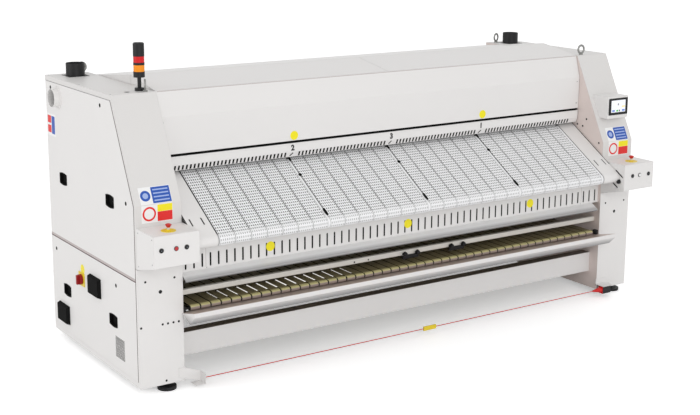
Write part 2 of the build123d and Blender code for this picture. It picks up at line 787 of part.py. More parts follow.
with BuildPart() as cross_bar:
    with BuildSketch(Plane.YZ.offset(-inner_x)) as bar_section:
        with Locations((bar_y + bar_depth / 2, bar_low + bar_height / 2)):
            RectangleRounded(bar_depth, bar_height, bar_corner)
    extrude(bar_section.sketch, amount=2 * inner_x)
    for place in clamp_x:
        with BuildSketch(Plane.XZ.offset(-bar_y)) as clamp:
            with Locations((place, bar_low - clamp_drop / 2)):
                Rectangle(clamp_width, clamp_drop)
            with Locations((place, bar_low + clamp_lug / 2)):
                with GridLocations(clamp_width - clamp_lug, 0, 2, 1):
                    Rectangle(clamp_lug, clamp_lug)
        extrude(clamp.sketch, amount=clamp_plate)
cross_bar.part.label = "cross_bar"
export_step(cross_bar.part, "parts/cross_bar.step")

# ---- exit belts and tray --------------------------------------------------------------------------
exit_drive_y = exit_nose_y + exit_length
exit_taper = 2 * degrees(atan2(exit_drive_radius - exit_nose_radius, exit_length))
exit_nose_inner = exit_nose_radius - belt_thickness
exit_drive_inner = exit_drive_radius - belt_thickness
exit_stations = [((exit_nose_y, exit_nose_z), exit_nose_inner, 90, 180 - exit_taper),
                 ((exit_drive_y, exit_drive_z), exit_drive_inner, -90 - exit_taper, 180 + exit_taper)]
exit_belt_width = exit_pitch - exit_belt_gap

with BuildPart() as exit_belts:
    exit_belt = belt(exit_stations, exit_belt_gap / 2, exit_belt_width, belt_thickness, flats=3)
    with Locations(*[(i * exit_pitch - exit_half, 0, 0) for i in range(exit_belt_count)]):
        add(exit_belt)
exit_belts.part.label = "exit_belts"
export_step(exit_belts.part, "parts/exit_belts.step")

with BuildPart() as exit_nose_roller:
    roller(exit_nose_y, exit_nose_z, exit_nose_inner - fit_gap, exit_half + seam, exit_journal,
           inner_x - shaft_setback)
exit_nose_roller.part.label = "exit_nose_roller"
export_step(exit_nose_roller.part, "parts/exit_nose_roller.step")

with BuildPart() as exit_drive_roller:
    roller(exit_drive_y, exit_drive_z, exit_drive_inner - fit_gap, exit_half + seam, roller_journal,
           inner_x - shaft_setback)
exit_drive_roller.part.label = "exit_drive_roller"
export_step(exit_drive_roller.part, "parts/exit_drive_roller.step")


def tray_top_z(y):
    """Height of the tray's upper face."""
    return tray_tip_z - (tray_tip_y - y) / (tray_tip_y - tray_back_y) * (tray_tip_z - tray_back_z)


# bent from one sheet that starts below the exit belts; the wider part stands in front of the cabinets
with BuildPart() as exit_tray:
    tray_path = [(tray_back_y, tray_back_z), (tray_tip_y, tray_tip_z), (tray_tip_y, tray_lip_z),
                 (tray_under_y, tray_under_z)]
    tray_half = inner_x + tray_overhang
    extrude(folded_profile(tray_path, sheet, -tray_half, Side.LEFT), amount=2 * tray_half)
    notch_front = front_y - sheet
    with BuildSketch(Plane.XY.offset(tray_under_z)) as notches:
        with Locations((inner_x - seam / 2 + tray_half / 2, (notch_front + tray_back_y) / 2),
                       (-inner_x + seam / 2 - tray_half / 2, (notch_front + tray_back_y) / 2)):
            Rectangle(tray_half, tray_back_y - notch_front)
    extrude(notches.sketch, amount=tray_tip_z - tray_under_z, mode=Mode.SUBTRACT)
    end_walls([(notch_front, tray_top_z(notch_front)), *tray_path[1:]], tray_half)
    bracket = [(tray_bracket_front_y, tray_bracket_low), (tray_bracket_front_y, tray_top_z(tray_bracket_front_y)),
               (tray_back_y, tray_back_z), (tray_back_y, tray_bracket_low)]
    extrude(closed_profile(bracket, inner_x - tray_bracket), amount=tray_bracket)
    extrude(closed_profile(bracket, -inner_x), amount=tray_bracket)
exit_tray.part.label = "exit_tray"
export_step(exit_tray.part, "parts/exit_tray.step")

with BuildPart() as cross_beams:
    for beam_front in (beam_y, rear_y - sheet - beam_depth):
        with BuildSketch(Plane.YZ.offset(-inner_x)) as section:
            with Locations((beam_front + beam_depth / 2, beam_low + beam_height / 2)):
                Rectangle(beam_depth, beam_height)
                Rectangle(beam_depth - 2 * beam_wall, beam_height - 2 * beam_wall, mode=Mode.SUBTRACT)
        extrude(section.sketch, amount=2 * inner_x)
cross_beams.part.label = "cross_beams"
export_step(cross_beams.part, "parts/cross_beams.step")

# ---- ironing cylinder, its belts and rollers ------------------------------------------------------
journal_end = inner_x + journal_reach
with BuildPart() as heated_cylinder:
    inner_half = cylinder_half_length - cylinder_head
    shell_inner = cylinder_radius - cylinder_wall
    outside = [(-journal_end, journal_bore), (-journal_end, journal_radius),
               (-cylinder_half_length, journal_radius), (-cylinder_half_length, cylinder_radius)]
    inside = [(-inner_half, shell_inner), (-inner_half, journal_bore)]
    half_profile = (outside + [(-x, r) for x, r in reversed(outside)]
                    + [(-x, r) for x, r in reversed(inside)] + inside)
    with BuildSketch(Plane.XY.offset(cylinder_z)) as half_section:
        with BuildLine():
            Polyline(*[(x, cylinder_y + r) for x, r in half_profile], close=True)
        make_face()
    revolve(half_section.sketch, axis=Axis((0, cylinder_y, cylinder_z), (1, 0, 0)))
heated_cylinder.part.label = "heated_cylinder"
export_step(heated_cylinder.part, "parts/heated_cylinder.step")

guide_place = (guide_roller_y, guide_roller_z)
tension_place = (tension_roller_y, tension_roller_z)
press_place = (press_y, press_z)
return_place = (return_y, return_z)


def facing(start, end):
    """Angle of the outer side of a belt run from one equal roller to the next."""
    return degrees(atan2(end[1] - start[1], end[0] - start[0])) - 90


low_side = facing(return_place, guide_place) % 360
rear_side = facing(guide_place, tension_place) % 360
top_side = facing(tension_place, press_place) % 360
roller_reach = belt_roller_radius + fit_gap
cylinder_reach = cylinder_radius + fit_gap + ironing_belt_thickness
ironing_stations = [
    (press_place, roller_reach, top_side, press_angle + 180 - top_side),
    ((cylinder_y, cylinder_z), cylinder_reach, press_angle, return_angle - 360 - press_angle),
    (return_place, roller_reach, return_angle - 180, low_side - return_angle + 180),
    (guide_place, roller_reach, low_side, (rear_side - low_side) % 360),
    (tension_place, roller_reach, rear_side, (top_side - rear_side) % 360),
]

with BuildPart() as ironing_belts:
    add(belt(ironing_stations, -belt_half - ironing_belt_overhang, working_width + 2 * ironing_belt_overhang,
             ironing_belt_thickness))
ironing_belts.part.label = "ironing_belts"
export_step(ironing_belts.part, "parts/ironing_belts.step")

for name, place in (("press_roller", press_place), ("return_roller", return_place),
                    ("guide_roller", guide_place), ("tension_roller", tension_place)):
    with BuildPart() as belt_roller:
        roller(place[0], place[1], belt_roller_radius, belt_half + belt_roller_overhang, roller_journal,
               inner_x - shaft_setback)
    belt_roller.part.label = name
    export_step(belt_roller.part, "parts/" + name + ".step")

with BuildPart() as roller_bearings:
    inside_frame = inner_x - bearing_depth
    for place, size, bore, start in (
        (press_place, bearing_size, roller_journal, inside_frame),
        (return_place, bearing_size, roller_journal, inside_frame),
        (guide_place, bearing_size, roller_journal, inside_frame),
        (tension_place, bearing_size, roller_journal, inside_frame),
        ((exit_nose_y, exit_nose_z), exit_nose_bearing_size, exit_journal, inside_frame),
        ((exit_drive_y, exit_drive_z), exit_bearing_size, roller_journal, inside_frame),
        ((nose_y, nose_z), bearing_size, roller_journal, inner_x + box_wall),
        ((drive_y, drive_z), bearing_size, roller_journal, inner_x + frame_plate),
    ):
        with BuildSketch(Plane.YZ.offset(start)) as block:
            with Locations(place):
                Rectangle(size, size)
                Circle(bore + journal_clearance, mode=Mode.SUBTRACT)
        extrude(block.sketch, amount=bearing_depth)
    with BuildSketch(Plane.YZ.offset(inner_x + frame_plate)) as large_block:
        with Locations((cylinder_y, cylinder_z)):
            Rectangle(cylinder_bearing_size, cylinder_bearing_size)
            Circle(journal_radius + journal_clearance, mode=Mode.SUBTRACT)
    extrude(large_block.sketch, amount=cylinder_bearing_depth)
    mirror(about=Plane.YZ)
roller_bearings.part.label = "roller_bearings"
export_step(roller_bearings.part, "parts/roller_bearings.step")

# ---- drives and fans ------------------------------------------------------------------------------


def gearmotor(y, z, start, case, case_depth, motor_radius, motor_length, shaft_radius):
    """A gearbox with a hollow shaft and its motor pointing to the rear."""
    with BuildSketch(Plane.YZ.offset(start)) as gearbox:
        with Locations((y, z)):
            Rectangle(case, case)
            Circle(shaft_radius + journal_clearance, mode=Mode.SUBTRACT)
    extrude(gearbox.sketch, amount=case_depth)
    with BuildSketch(Plane.XZ.offset(-y - case / 2)) as motor:
        with Locations((start + case_depth / 2, z)):
            Circle(motor_radius)
    extrude(motor.sketch, amount=-motor_length)


with BuildPart() as gearmotors:
    gearmotor(cylinder_y, cylinder_z, inner_x + frame_plate + cylinder_bearing_depth, cylinder_gearbox,
              cylinder_gearbox_depth, cylinder_motor_radius, cylinder_motor_length, journal_radius)
    gearmotor(drive_y, drive_z, inner_x + frame_plate + bearing_depth, feed_gearbox, feed_gearbox_depth,
              feed_motor_radius, feed_motor_length, roller_journal)
gearmotors.part.label = "gearmotors"
export_step(gearmotors.part, "parts/gearmotors.step")

with BuildPart() as exhaust_fans:
    fan_y = duct_y - fan_offset
    fan_z = cabinet_height - fan_drop
    outlet_inside = 2 * (fan_half_width - fan_outlet_wall)
    with BuildSketch(Plane.YZ.offset(duct_x - fan_half_width)) as volute:
        with Locations((fan_y, fan_z)):
            Circle(fan_radius)
            Circle(fan_eye_radius, mode=Mode.SUBTRACT)
    extrude(volute.sketch, amount=2 * fan_half_width)
    with BuildSketch(Plane.YZ.offset(duct_x + fan_half_width)) as motor_face:
        with Locations((fan_y, fan_z)):
            Circle(fan_eye_radius)
    extrude(motor_face.sketch, amount=-fan_motor_length)
    with BuildSketch(Plane.XY.offset(fan_z + fan_outlet_start)) as outlet:
        with Locations((duct_x, duct_y)):
            Rectangle(2 * fan_half_width, 2 * fan_half_width)
            Rectangle(outlet_inside, outlet_inside, mode=Mode.SUBTRACT)
    extrude(outlet.sketch, amount=fan_drop - sheet - fan_outlet_start)
    mirror(about=Plane.YZ)
exhaust_fans.part.label = "exhaust_fans"
export_step(exhaust_fans.part, "parts/exhaust_fans.step")

# exhaust collars on the cabinets' tops and the air inlet on the left side
with BuildPart() as duct_collars:
    with BuildSketch(Plane.XY.offset(cabinet_height)) as plate:
        with Locations((duct_x, duct_y)):
            Rectangle(duct_plate, duct_plate)
    extrude(plate.sketch, amount=sheet)
    with BuildSketch(Plane.XY.offset(cabinet_height)) as collar:
        with Locations((duct_x, duct_y)):
            Circle(duct_radius)
    extrude(collar.sketch, amount=duct_height)
    with BuildSketch(Plane.XY.offset(cabinet_height)) as bore:
        with Locations((duct_x, duct_y)):
            Circle(duct_radius - sheet)
    extrude(bore.sketch, amount=duct_height, mode=Mode.SUBTRACT)
    mirror(about=Plane.YZ)
    with BuildSketch(Plane.YZ.offset(-outer_x)) as flange:
        with Locations((spigot_y, spigot_z)):
            Circle(spigot_flange_radius)
            Circle(spigot_radius - spigot_wall, mode=Mode.SUBTRACT)
    extrude(flange.sketch, amount=-spigot_flange)
    with BuildSketch(Plane.YZ.offset(-outer_x + panel_edge)) as tube:
        with Locations((spigot_y, spigot_z)):
            Circle(spigot_radius)
            Circle(spigot_radius - spigot_wall, mode=Mode.SUBTRACT)
    extrude(tube.sketch, amount=-panel_edge - spigot_proud)
duct_collars.part.label = "duct_collars"
export_step(duct_collars.part, "parts/duct_collars.step")

# ---- control boxes --------------------------------------------------------------------------------
box_profile = [(front_y, box_top), (box_front_y, box_top), (box_front_y, box_front_bottom),
               (front_y, box_rear_bottom)]


def button_holes(side):
    """Holes for the three buttons of one box."""
    with BuildSketch(Plane.XZ.offset(-box_front_y)) as holes:
        for name, x in button_places.items():
            if name.startswith(side):
                with Locations((x, button_z)):
                    Circle(button_radius + fit_gap)
    extrude(holes.sketch, amount=-box_wall, mode=Mode.SUBTRACT)


def control_box_shell():
    """The right box without its button holes: open to the cabinet, with the feed roller's bearing side."""
    extrude(closed_profile(box_profile, inner_x), amount=cabinet_width)
    with BuildSketch(Plane.YZ.offset(inner_x + box_wall)) as hollow:
        with BuildLine():
            Polyline(*box_profile, close=True)
        make_face()
        offset(amount=-box_wall, kind=Kind.INTERSECTION)
        with Locations((front_y - box_wall / 2, (box_top + box_rear_bottom) / 2)):
            Rectangle(box_wall, box_top - box_rear_bottom - 4 * box_wall)
    extrude(hollow.sketch, amount=cabinet_width - 2 * box_wall, mode=Mode.SUBTRACT)
    with BuildSketch(Plane.XY.offset(box_top - box_wall)) as estop_hole:
        with Locations((estop_x, estop_y)):
            Circle(estop_stem_radius + fit_gap)
    extrude(estop_hole.sketch, amount=box_wall, mode=Mode.SUBTRACT)
    with BuildSketch(Plane.YZ.offset(inner_x)) as inner_openings:
        with Locations((nose_y, nose_z)):
            Circle(roller_journal + shaft_clearance)
        for reach, rise, slot_length in tension_slots:
            with Locations((nose_y + reach, nose_z + rise)):
                Rectangle(slot_length, tension_slot_width, rotation=feed_incline)
    extrude(inner_openings.sketch, amount=box_wall, mode=Mode.SUBTRACT)


with BuildPart() as control_box_right:
    control_box_shell()
    right_shell = control_box_right.part
    button_holes("right")
control_box_right.part.label = "control_box_right"
export_step(control_box_right.part, "parts/control_box_right.step")

with BuildPart() as control_box_left:
    add(mirror(right_shell, about=Plane.YZ, mode=Mode.PRIVATE))
    button_holes("left")
control_box_left.part.label = "control_box_left"
export_step(control_box_left.part, "parts/control_box_left.step")

with BuildPart() as estop_bases:
    with BuildSketch(Plane.XY.offset(box_top)) as disc:
        with Locations((estop_x, estop_y)):
            Circle(estop_disc_radius)
    extrude(disc.sketch, amount=estop_disc_height)
    with BuildSketch(Plane.XY.offset(box_top)) as collar:
        with Locations((estop_x, estop_y)):
            Circle(estop_collar_radius)
    extrude(collar.sketch, amount=estop_disc_height + estop_collar_height)
    with BuildSketch(Plane.XY.offset(box_top)) as collar_bore:
        with Locations((estop_x, estop_y)):
            Circle(estop_stem_radius + fit_gap)
    extrude(collar_bore.sketch, amount=estop_disc_height + estop_collar_height, mode=Mode.SUBTRACT)
    mirror(about=Plane.YZ)
estop_bases.part.label = "estop_bases"
export_step(estop_bases.part, "parts/estop_bases.step")

# mushroom heads, narrow at the neck and widest near the top
for name, x in (("estop_head_left", -estop_x), ("estop_head_right", estop_x)):
    with BuildPart() as estop_head:
        with BuildSketch(Plane.XZ.offset(-estop_y)) as half:
            with BuildLine():
                rim = box_top + estop_head_top - estop_head_rim
                crown = box_top + estop_head_top
                Polyline((x, crown), (x, box_top - estop_stem_length),
                         (x + estop_stem_radius, box_top - estop_stem_length),
                         (x + estop_stem_radius, box_top + estop_head_bottom), (x + estop_head_radius, rim))
                ThreePointArc((x + estop_head_radius, rim), (x + estop_head_radius / 2, crown - estop_half_drop),
                              (x, crown))
            make_face()
        revolve(half.sketch, axis=Axis((x, estop_y, 0), (0, 0, 1)))
    estop_head.part.label = name
    export_step(estop_head.part, "parts/" + name + ".step")

with BuildPart() as button_bezels:
    with BuildSketch(Plane.XZ.offset(-box_front_y)) as rings:
        for x in button_places.values():
            with Locations((x, button_z)):
                Circle(button_bezel_radius)
                Circle(button_radius + fit_gap, mode=Mode.SUBTRACT)
    extrude(rings.sketch, amount=button_bezel_height)
button_bezels.part.label = "button_bezels"
export_step(button_bezels.part, "parts/button_bezels.step")

for name, x in button_places.items():
    with BuildPart() as button:
        with BuildSketch(Plane.XZ.offset(-box_front_y + button_bezel_height + button_proud)) as face:
            with Locations((x, button_z)):
                Circle(button_radius)
        extrude(face.sketch, amount=-button_length)
    button.part.label = "button_" + name
    export_step(button.part, "parts/button_" + name + ".step")

# ---- operator panel, main switch, signal tower ----------------------------------------------------
hmi_centre_x = inner_x + hmi_inset
hmi_left = hmi_centre_x - hmi_bezel_width / 2 - hmi_border_left
hmi_right = hmi_centre_x + hmi_bezel_width / 2 + hmi_border_right
hmi_centre_z = hmi_bottom + hmi_border_bottom + hmi_bezel_height / 2
hmi_body_width = hmi_bezel_width - 2 * hmi_panel_lip
hmi_body_height = hmi_bezel_height - 2 * hmi_panel_lip

with BuildPart() as hmi_housing:
    hmi_profile = [(slant_y(hmi_top), hmi_top), (hmi_front_y, hmi_top), (hmi_front_y, hmi_bottom),
                   (slant_y(hmi_bottom), hmi_bottom)]
    extrude(closed_profile(hmi_profile, hmi_left), amount=hmi_right - hmi_left)
    with BuildSketch(Plane.XZ.offset(-hmi_front_y)) as opening:
        with Locations((hmi_centre_x, hmi_centre_z)):
            Rectangle(hmi_body_width, hmi_body_height)
    extrude(opening.sketch, amount=-hmi_panel_depth, mode=Mode.SUBTRACT)
hmi_housing.part.label = "hmi_housing"
export_step(hmi_housing.part, "parts/hmi_housing.step")

with BuildPart() as hmi_panel:
    with BuildSketch(Plane.XZ.offset(-hmi_front_y)) as bezel:
        with Locations((hmi_centre_x, hmi_centre_z)):
            RectangleRounded(hmi_bezel_width, hmi_bezel_height, hmi_bezel_corner)
    extrude(bezel.sketch, amount=hmi_panel_proud)
    with BuildSketch(Plane.XZ.offset(-hmi_front_y)) as body:
        with Locations((hmi_centre_x, hmi_centre_z)):
            Rectangle(hmi_body_width - 2 * fit_gap, hmi_body_height - 2 * fit_gap)
    extrude(body.sketch, amount=-hmi_panel_depth + fit_gap)
hmi_panel.part.label = "hmi_panel"
export_step(hmi_panel.part, "parts/hmi_panel.step")

with BuildPart() as main_switch_plate:
    with BuildSketch(Plane.YZ.offset(-outer_x)) as plate:
        with Locations((switch_y, switch_z)):
            Rectangle(switch_plate, switch_plate)
    extrude(plate.sketch, amount=-switch_plate_height)
    with BuildSketch(Plane.YZ.offset(-outer_x)) as bore:
        with Locations((switch_y, switch_z)):
            Circle(switch_shaft_radius + fit_gap)
    extrude(bore.sketch, amount=-switch_plate_height, mode=Mode.SUBTRACT)
main_switch_plate.part.label = "main_switch_plate"
export_step(main_switch_plate.part, "parts/main_switch_plate.step")

with BuildPart() as main_switch_knob:
    knob_start = -outer_x - switch_plate_height - fit_gap
    with BuildSketch(Plane.YZ.offset(-outer_x)) as shaft:
        with Locations((switch_y, switch_z)):
            Circle(switch_shaft_radius)
    extrude(shaft.sketch, amount=-switch_plate_height - fit_gap)
    with BuildSketch(Plane.YZ.offset(knob_start)) as round_base:
        with Locations((switch_y, switch_z)):
            Circle(switch_knob_radius)
    extrude(round_base.sketch, amount=-switch_knob_depth / 2)
    with BuildSketch(Plane.YZ.offset(knob_start - switch_knob_depth / 2)) as grip:
        with Locations((switch_y, switch_z)):
            Rectangle(switch_grip_width, switch_grip_length)
    extrude(grip.sketch, amount=-switch_knob_depth / 2)
main_switch_knob.part.label = "main_switch_knob"
export_step(main_switch_knob.part, "parts/main_switch_knob.step")


def tower_section(outline):
    """A turned piece of the signal tower from (radius, z) corners."""
    with BuildSketch(Plane.XZ.offset(-tower_y)) as half:
        with BuildLine():
            Polyline(*[(tower_x + r, z) for r, z in outline], close=True)
        make_face()
    revolve(half.sketch, axis=Axis((tower_x, tower_y, 0), (0, 0, 1)))


with BuildPart() as tower_body:
    tower_section([(0, cabinet_height), (tower_foot_radius, cabinet_height), (tower_foot_radius, tower_foot_top),
                   (tower_stem_radius, tower_foot_top), (tower_stem_radius, tower_base_low),
                   (tower_radius, tower_base_low), (tower_radius, amber_low), (0, amber_low)])
    tower_section([(0, amber_high), (tower_radius, amber_high), (tower_radius, red_low), (0, red_low)])
    tower_section([(0, red_high), (tower_radius, red_high), (tower_radius, tower_top - tower_chamfer),
                   (tower_radius - tower_chamfer, tower_top), (0, tower_top)])
tower_body.part.label = "tower_body"
export_step(tower_body.part, "parts/tower_body.step")

with BuildPart() as tower_lenses:
    for low, high in ((amber_low, amber_high), (red_low, red_high)):
        tower_section([(0, low), (tower_radius - lens_inset, low), (tower_radius - lens_inset, high), (0, high)])
tower_lenses.part.label = "tower_lenses"
export_step(tower_lenses.part, "parts/tower_lenses.step")

# ---- lifting eyes, feet, pull rope ----------------------------------------------------------------
with BuildPart() as lifting_eyes:
    eye_z = cabinet_height + eye_base + eye_radius - eye_sink
    for y in eye_y:
        with BuildSketch(Plane.XY.offset(cabinet_height)) as base:
            with Locations((eye_x, y)):
                Circle(eye_base_radius)
        extrude(base.sketch, amount=eye_base)
        with BuildSketch(Plane.XZ.offset(-y - eye_thickness / 2)) as ring:
            with Locations((eye_x, eye_z)):
                Circle(eye_radius)
                Circle(eye_hole, mode=Mode.SUBTRACT)
        extrude(ring.sketch, amount=eye_thickness)
    mirror(about=Plane.YZ)
lifting_eyes.part.label = "lifting_eyes"
export_step(lifting_eyes.part, "parts/lifting_eyes.step")

with BuildPart() as levelling_feet:
    for x in foot_x:
        for y in foot_y:
            with BuildSketch(Plane.XY) as pad:
                with Locations((x, y)):
                    Circle(foot_radius)
            extrude(pad.sketch, amount=foot_height)
            with BuildSketch(Plane.XY.offset(foot_height)) as stem:
                with Locations((x, y)):
                    Circle(foot_stem_radius)
            extrude(stem.sketch, amount=ground_clearance - foot_height)
levelling_feet.part.label = "levelling_feet"
export_step(levelling_feet.part, "parts/levelling_feet.step")

with BuildPart() as rope_brackets:
    # left: plate on the pillar, floor flange and cheek that holds the rope's end
    cheek_x = rope_left - bracket_sheet
    plate_left = -inner_x - left_bracket_half
    with BuildSketch(Plane.XZ.offset(-front_y)) as left_plate:
        with BuildLine():
            Polyline((plate_left, left_bracket_top), (-inner_x, left_bracket_top),
                     (rope_left, rope_z + left_bracket_rise), (rope_left, left_bracket_low),
                     (plate_left, left_bracket_top - left_bracket_cut), close=True)
        make_face()
    extrude(left_plate.sketch, amount=bracket_sheet)
    flange_left = -inner_x + left_bracket_half
    with BuildSketch(Plane.XY.offset(left_bracket_low)) as flange:
        with Locations(((flange_left + rope_left) / 2, front_y - bracket_depth / 2)):
            Rectangle(rope_left - flange_left, bracket_depth)
    extrude(flange.sketch, amount=bracket_sheet)
    cheek_height = rope_z + left_bracket_rise - left_bracket_low
    with BuildSketch(Plane.YZ.offset(cheek_x)) as cheek:
        with Locations((front_y - bracket_depth / 2, left_bracket_low + cheek_height / 2)):
            Rectangle(bracket_depth, cheek_height)
    extrude(cheek.sketch, amount=bracket_sheet)
    # right: plate on the pillar and shelf above the switch
    switch_top = rope_z + rope_switch_height / 2
    shelf_depth = bracket_depth + right_bracket_extra
    with BuildSketch(Plane.XZ.offset(-front_y)) as right_plate:
        with Locations((inner_x + left_bracket_half, switch_top + right_bracket_height / 2)):
            Rectangle(right_bracket_width, right_bracket_height)
    extrude(right_plate.sketch, amount=bracket_sheet)
    with BuildSketch(Plane.XY.offset(switch_top)) as shelf:
        with Locations((inner_x + left_bracket_half, front_y - shelf_depth / 2)):
            Rectangle(right_bracket_width, shelf_depth)
    extrude(shelf.sketch, amount=bracket_sheet)
rope_brackets.part.label = "rope_brackets"
export_step(rope_brackets.part, "parts/rope_brackets.step")

with BuildPart() as rope_switch:
    switch_left = rope_right + rope_boot_length
    with BuildSketch(Plane.YZ.offset(switch_left)) as switch_section:
        with Locations((rope_y, rope_z)):
            Rectangle(rope_switch_depth, rope_switch_height)
    extrude(switch_section.sketch, amount=rope_switch_right - switch_left)
    with BuildSketch(Plane.XY.offset(rope_z)) as boot:
        with BuildLine():
            Polyline((rope_right, rope_y), (rope_right, rope_y + rope_diameter),
                     (switch_left - rope_switch_chamfer, rope_y + rope_boot_radius),
                     (switch_left, rope_y + rope_boot_radius), (switch_left, rope_y), close=True)
        make_face()
    revolve(boot.sketch, axis=Axis((0, rope_y, rope_z), (1, 0, 0)))
rope_switch.part.label = "rope_switch"
export_step(rope_switch.part, "parts/rope_switch.step")

with BuildPart() as pull_rope:
    with BuildSketch(Plane.YZ.offset(rope_left)) as rope_section:
        with Locations((rope_y, rope_z)):
            Circle(rope_diameter / 2)
    extrude(rope_section.sketch, amount=rope_right - rope_left)
pull_rope.part.label = "pull_rope"
export_step(pull_rope.part, "parts/pull_rope.step")

with BuildPart() as rope_tag:
    with BuildSketch(Plane.YZ.offset(rope_tag_left)) as tag_section:
        with Locations((rope_y, rope_z)):
            Rectangle(rope_tag_thickness, rope_tag_height)
            Circle(rope_diameter / 2, mode=Mode.SUBTRACT)
    extrude(tag_section.sketch, amount=rope_tag_right - rope_tag_left)
rope_tag.part.label = "rope_tag"
export_step(rope_tag.part, "parts/rope_tag.step")
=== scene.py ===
# Looks of a flatwork ironer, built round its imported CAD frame.
# Metres. X runs to the right as seen from the front, -Y is the front, +Z is up, the floor is at Z = 0.
import math

import bmesh
import bpy
from mathutils import Matrix, Vector


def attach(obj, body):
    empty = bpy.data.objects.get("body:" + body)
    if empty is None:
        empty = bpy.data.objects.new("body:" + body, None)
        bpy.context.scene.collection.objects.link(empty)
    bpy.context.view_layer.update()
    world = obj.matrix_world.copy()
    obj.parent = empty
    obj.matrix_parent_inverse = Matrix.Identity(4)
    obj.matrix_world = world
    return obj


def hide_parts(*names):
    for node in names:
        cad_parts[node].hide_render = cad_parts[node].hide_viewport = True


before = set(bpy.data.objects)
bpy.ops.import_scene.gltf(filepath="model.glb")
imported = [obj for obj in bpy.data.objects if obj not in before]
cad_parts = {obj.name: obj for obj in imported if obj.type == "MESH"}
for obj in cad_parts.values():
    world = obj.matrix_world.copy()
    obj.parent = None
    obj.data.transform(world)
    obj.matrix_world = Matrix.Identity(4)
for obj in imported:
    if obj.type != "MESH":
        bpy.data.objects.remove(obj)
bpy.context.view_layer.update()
print("frame:", len(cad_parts), "nodes")

camera = {"place": (-5.143, -7.380, 2.982), "yaw": 33.46, "pitch": -11.963, "roll": 0.267,
          "lens": 66.119, "sensor": 36, "shift": (0.021, -0.0537)}


def makeCamera(v):
    yaw, pitch, roll = (math.radians(v[k]) for k in ("yaw", "pitch", "roll"))
    forward = Vector((math.sin(yaw) * math.cos(pitch), math.cos(yaw) * math.cos(pitch), math.sin(pitch)))
    level = Vector((math.cos(yaw), -math.sin(yaw), 0))
    upright = level.cross(forward)
    right = level * math.cos(roll) + upright * math.sin(roll)
    up = upright * math.cos(roll) - level * math.sin(roll)
    data = bpy.data.cameras.new("camera")
    data.lens, data.sensor_width = v["lens"], v["sensor"]
    data.shift_x, data.shift_y = v["shift"]
    obj = bpy.data.objects.new("camera", data)
    bpy.context.collection.objects.link(obj)
    obj.matrix_world = Matrix.Translation(v["place"]) @ Matrix((right, up, -forward)).transposed().to_4x4()
    bpy.context.scene.camera = obj


makeCamera(camera)

# the pull rope, tight between its two brackets
rope = {"route": ((-1.65, -0.63, 0.057), (0.0, -0.63, 0.0555), (1.672, -0.63, 0.057)), "length": 3.322,
        "diameter": 0.006}


def makeRope(v):
    curve = bpy.data.curves.new("pullRope", "CURVE")
    curve.dimensions = "3D"
    line = curve.splines.new("NURBS")
    line.points.add(len(v["route"]) - 1)
    for point, place in zip(line.points, v["route"]):
        point.co = (*place, 1)
        point.radius = v["diameter"] / 2
    line.order_u = 3
    line.use_endpoint_u = True
    curve.bevel_depth = 1.0
    curve.bevel_resolution = 4
    curve.resolution_u = 12
    curve.use_fill_caps = True
    obj = bpy.data.objects.new("pullRope", curve)
    bpy.context.collection.objects.link(obj)
    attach(obj, "machine")
    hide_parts("pull_rope")
    return obj


ropeObject = makeRope(rope)

# ---- shader groups and materials


def newGroup(name, inputs, outputs, treeKind="ShaderNodeTree"):
    tree = bpy.data.node_groups.new(name, treeKind)
    for label, kind, value in inputs:
        socket = tree.interface.new_socket(name=label, in_out="INPUT", socket_type=kind)
        if value is not None:
            socket.default_value = value
    for label, kind in outputs:
        tree.interface.new_socket(name=label, in_out="OUTPUT", socket_type=kind)
    return tree, tree.nodes.new("NodeGroupInput").outputs, tree.nodes.new("NodeGroupOutput").inputs


def addNode(tree, kind, links=None, **settings):
    node = tree.nodes.new(kind)
    for key, value in settings.items():
        setattr(node, key, value)
    for name, source in (links or {}).items():
        socket = node.inputs[name]
        if isinstance(source, bpy.types.NodeSocket):
            tree.links.new(source, socket)
        else:
            socket.default_value = source
    return node


def buildGrain():
    # fine grain: a height for bump, a shade that wanders about 1 and a roughness shift
    tree, given, result = newGroup(
        "fineGrain",
        [("Vector", "NodeSocketVector", None), ("Scale", "NodeSocketFloat", 400.0),
         ("Shade", "NodeSocketFloat", 0.03), ("Color", "NodeSocketColor", (0.8, 0.8, 0.8, 1)),
         ("Roughness", "NodeSocketFloat", 0.4), ("Spread", "NodeSocketFloat", 0.08)],
        [("Height", "NodeSocketFloat"), ("Color", "NodeSocketColor"), ("Roughness", "NodeSocketFloat")])
    fine = addNode(tree, "ShaderNodeTexNoise", {"Vector": given["Vector"], "Scale": given["Scale"],
                                               "Detail": 3.0})
    broad = addNode(tree, "ShaderNodeTexNoise", {"Vector": given["Vector"], "Scale": 2.2, "Detail": 4.0})
    half = addNode(tree, "ShaderNodeMath", {0: broad.outputs["Fac"], 1: 0.5}, operation="SUBTRACT")
    shade = addNode(tree, "ShaderNodeMath", {0: half.outputs[0], 1: given["Shade"], 2: 1.0},
                    operation="MULTIPLY_ADD")
    color = addNode(tree, "ShaderNodeVectorMath", {0: given["Color"], "Scale": shade.outputs[0]},
                    operation="SCALE")
    rough = addNode(tree, "ShaderNodeMath", {0: half.outputs[0], 1: given["Spread"],
                                            2: given["Roughness"]}, operation="MULTIPLY_ADD")
    tree.links.new(fine.outputs["Fac"], result["Height"])
    tree.links.new(color.outputs[0], result["Color"])
    tree.links.new(rough.outputs[0], result["Roughness"])
    return tree


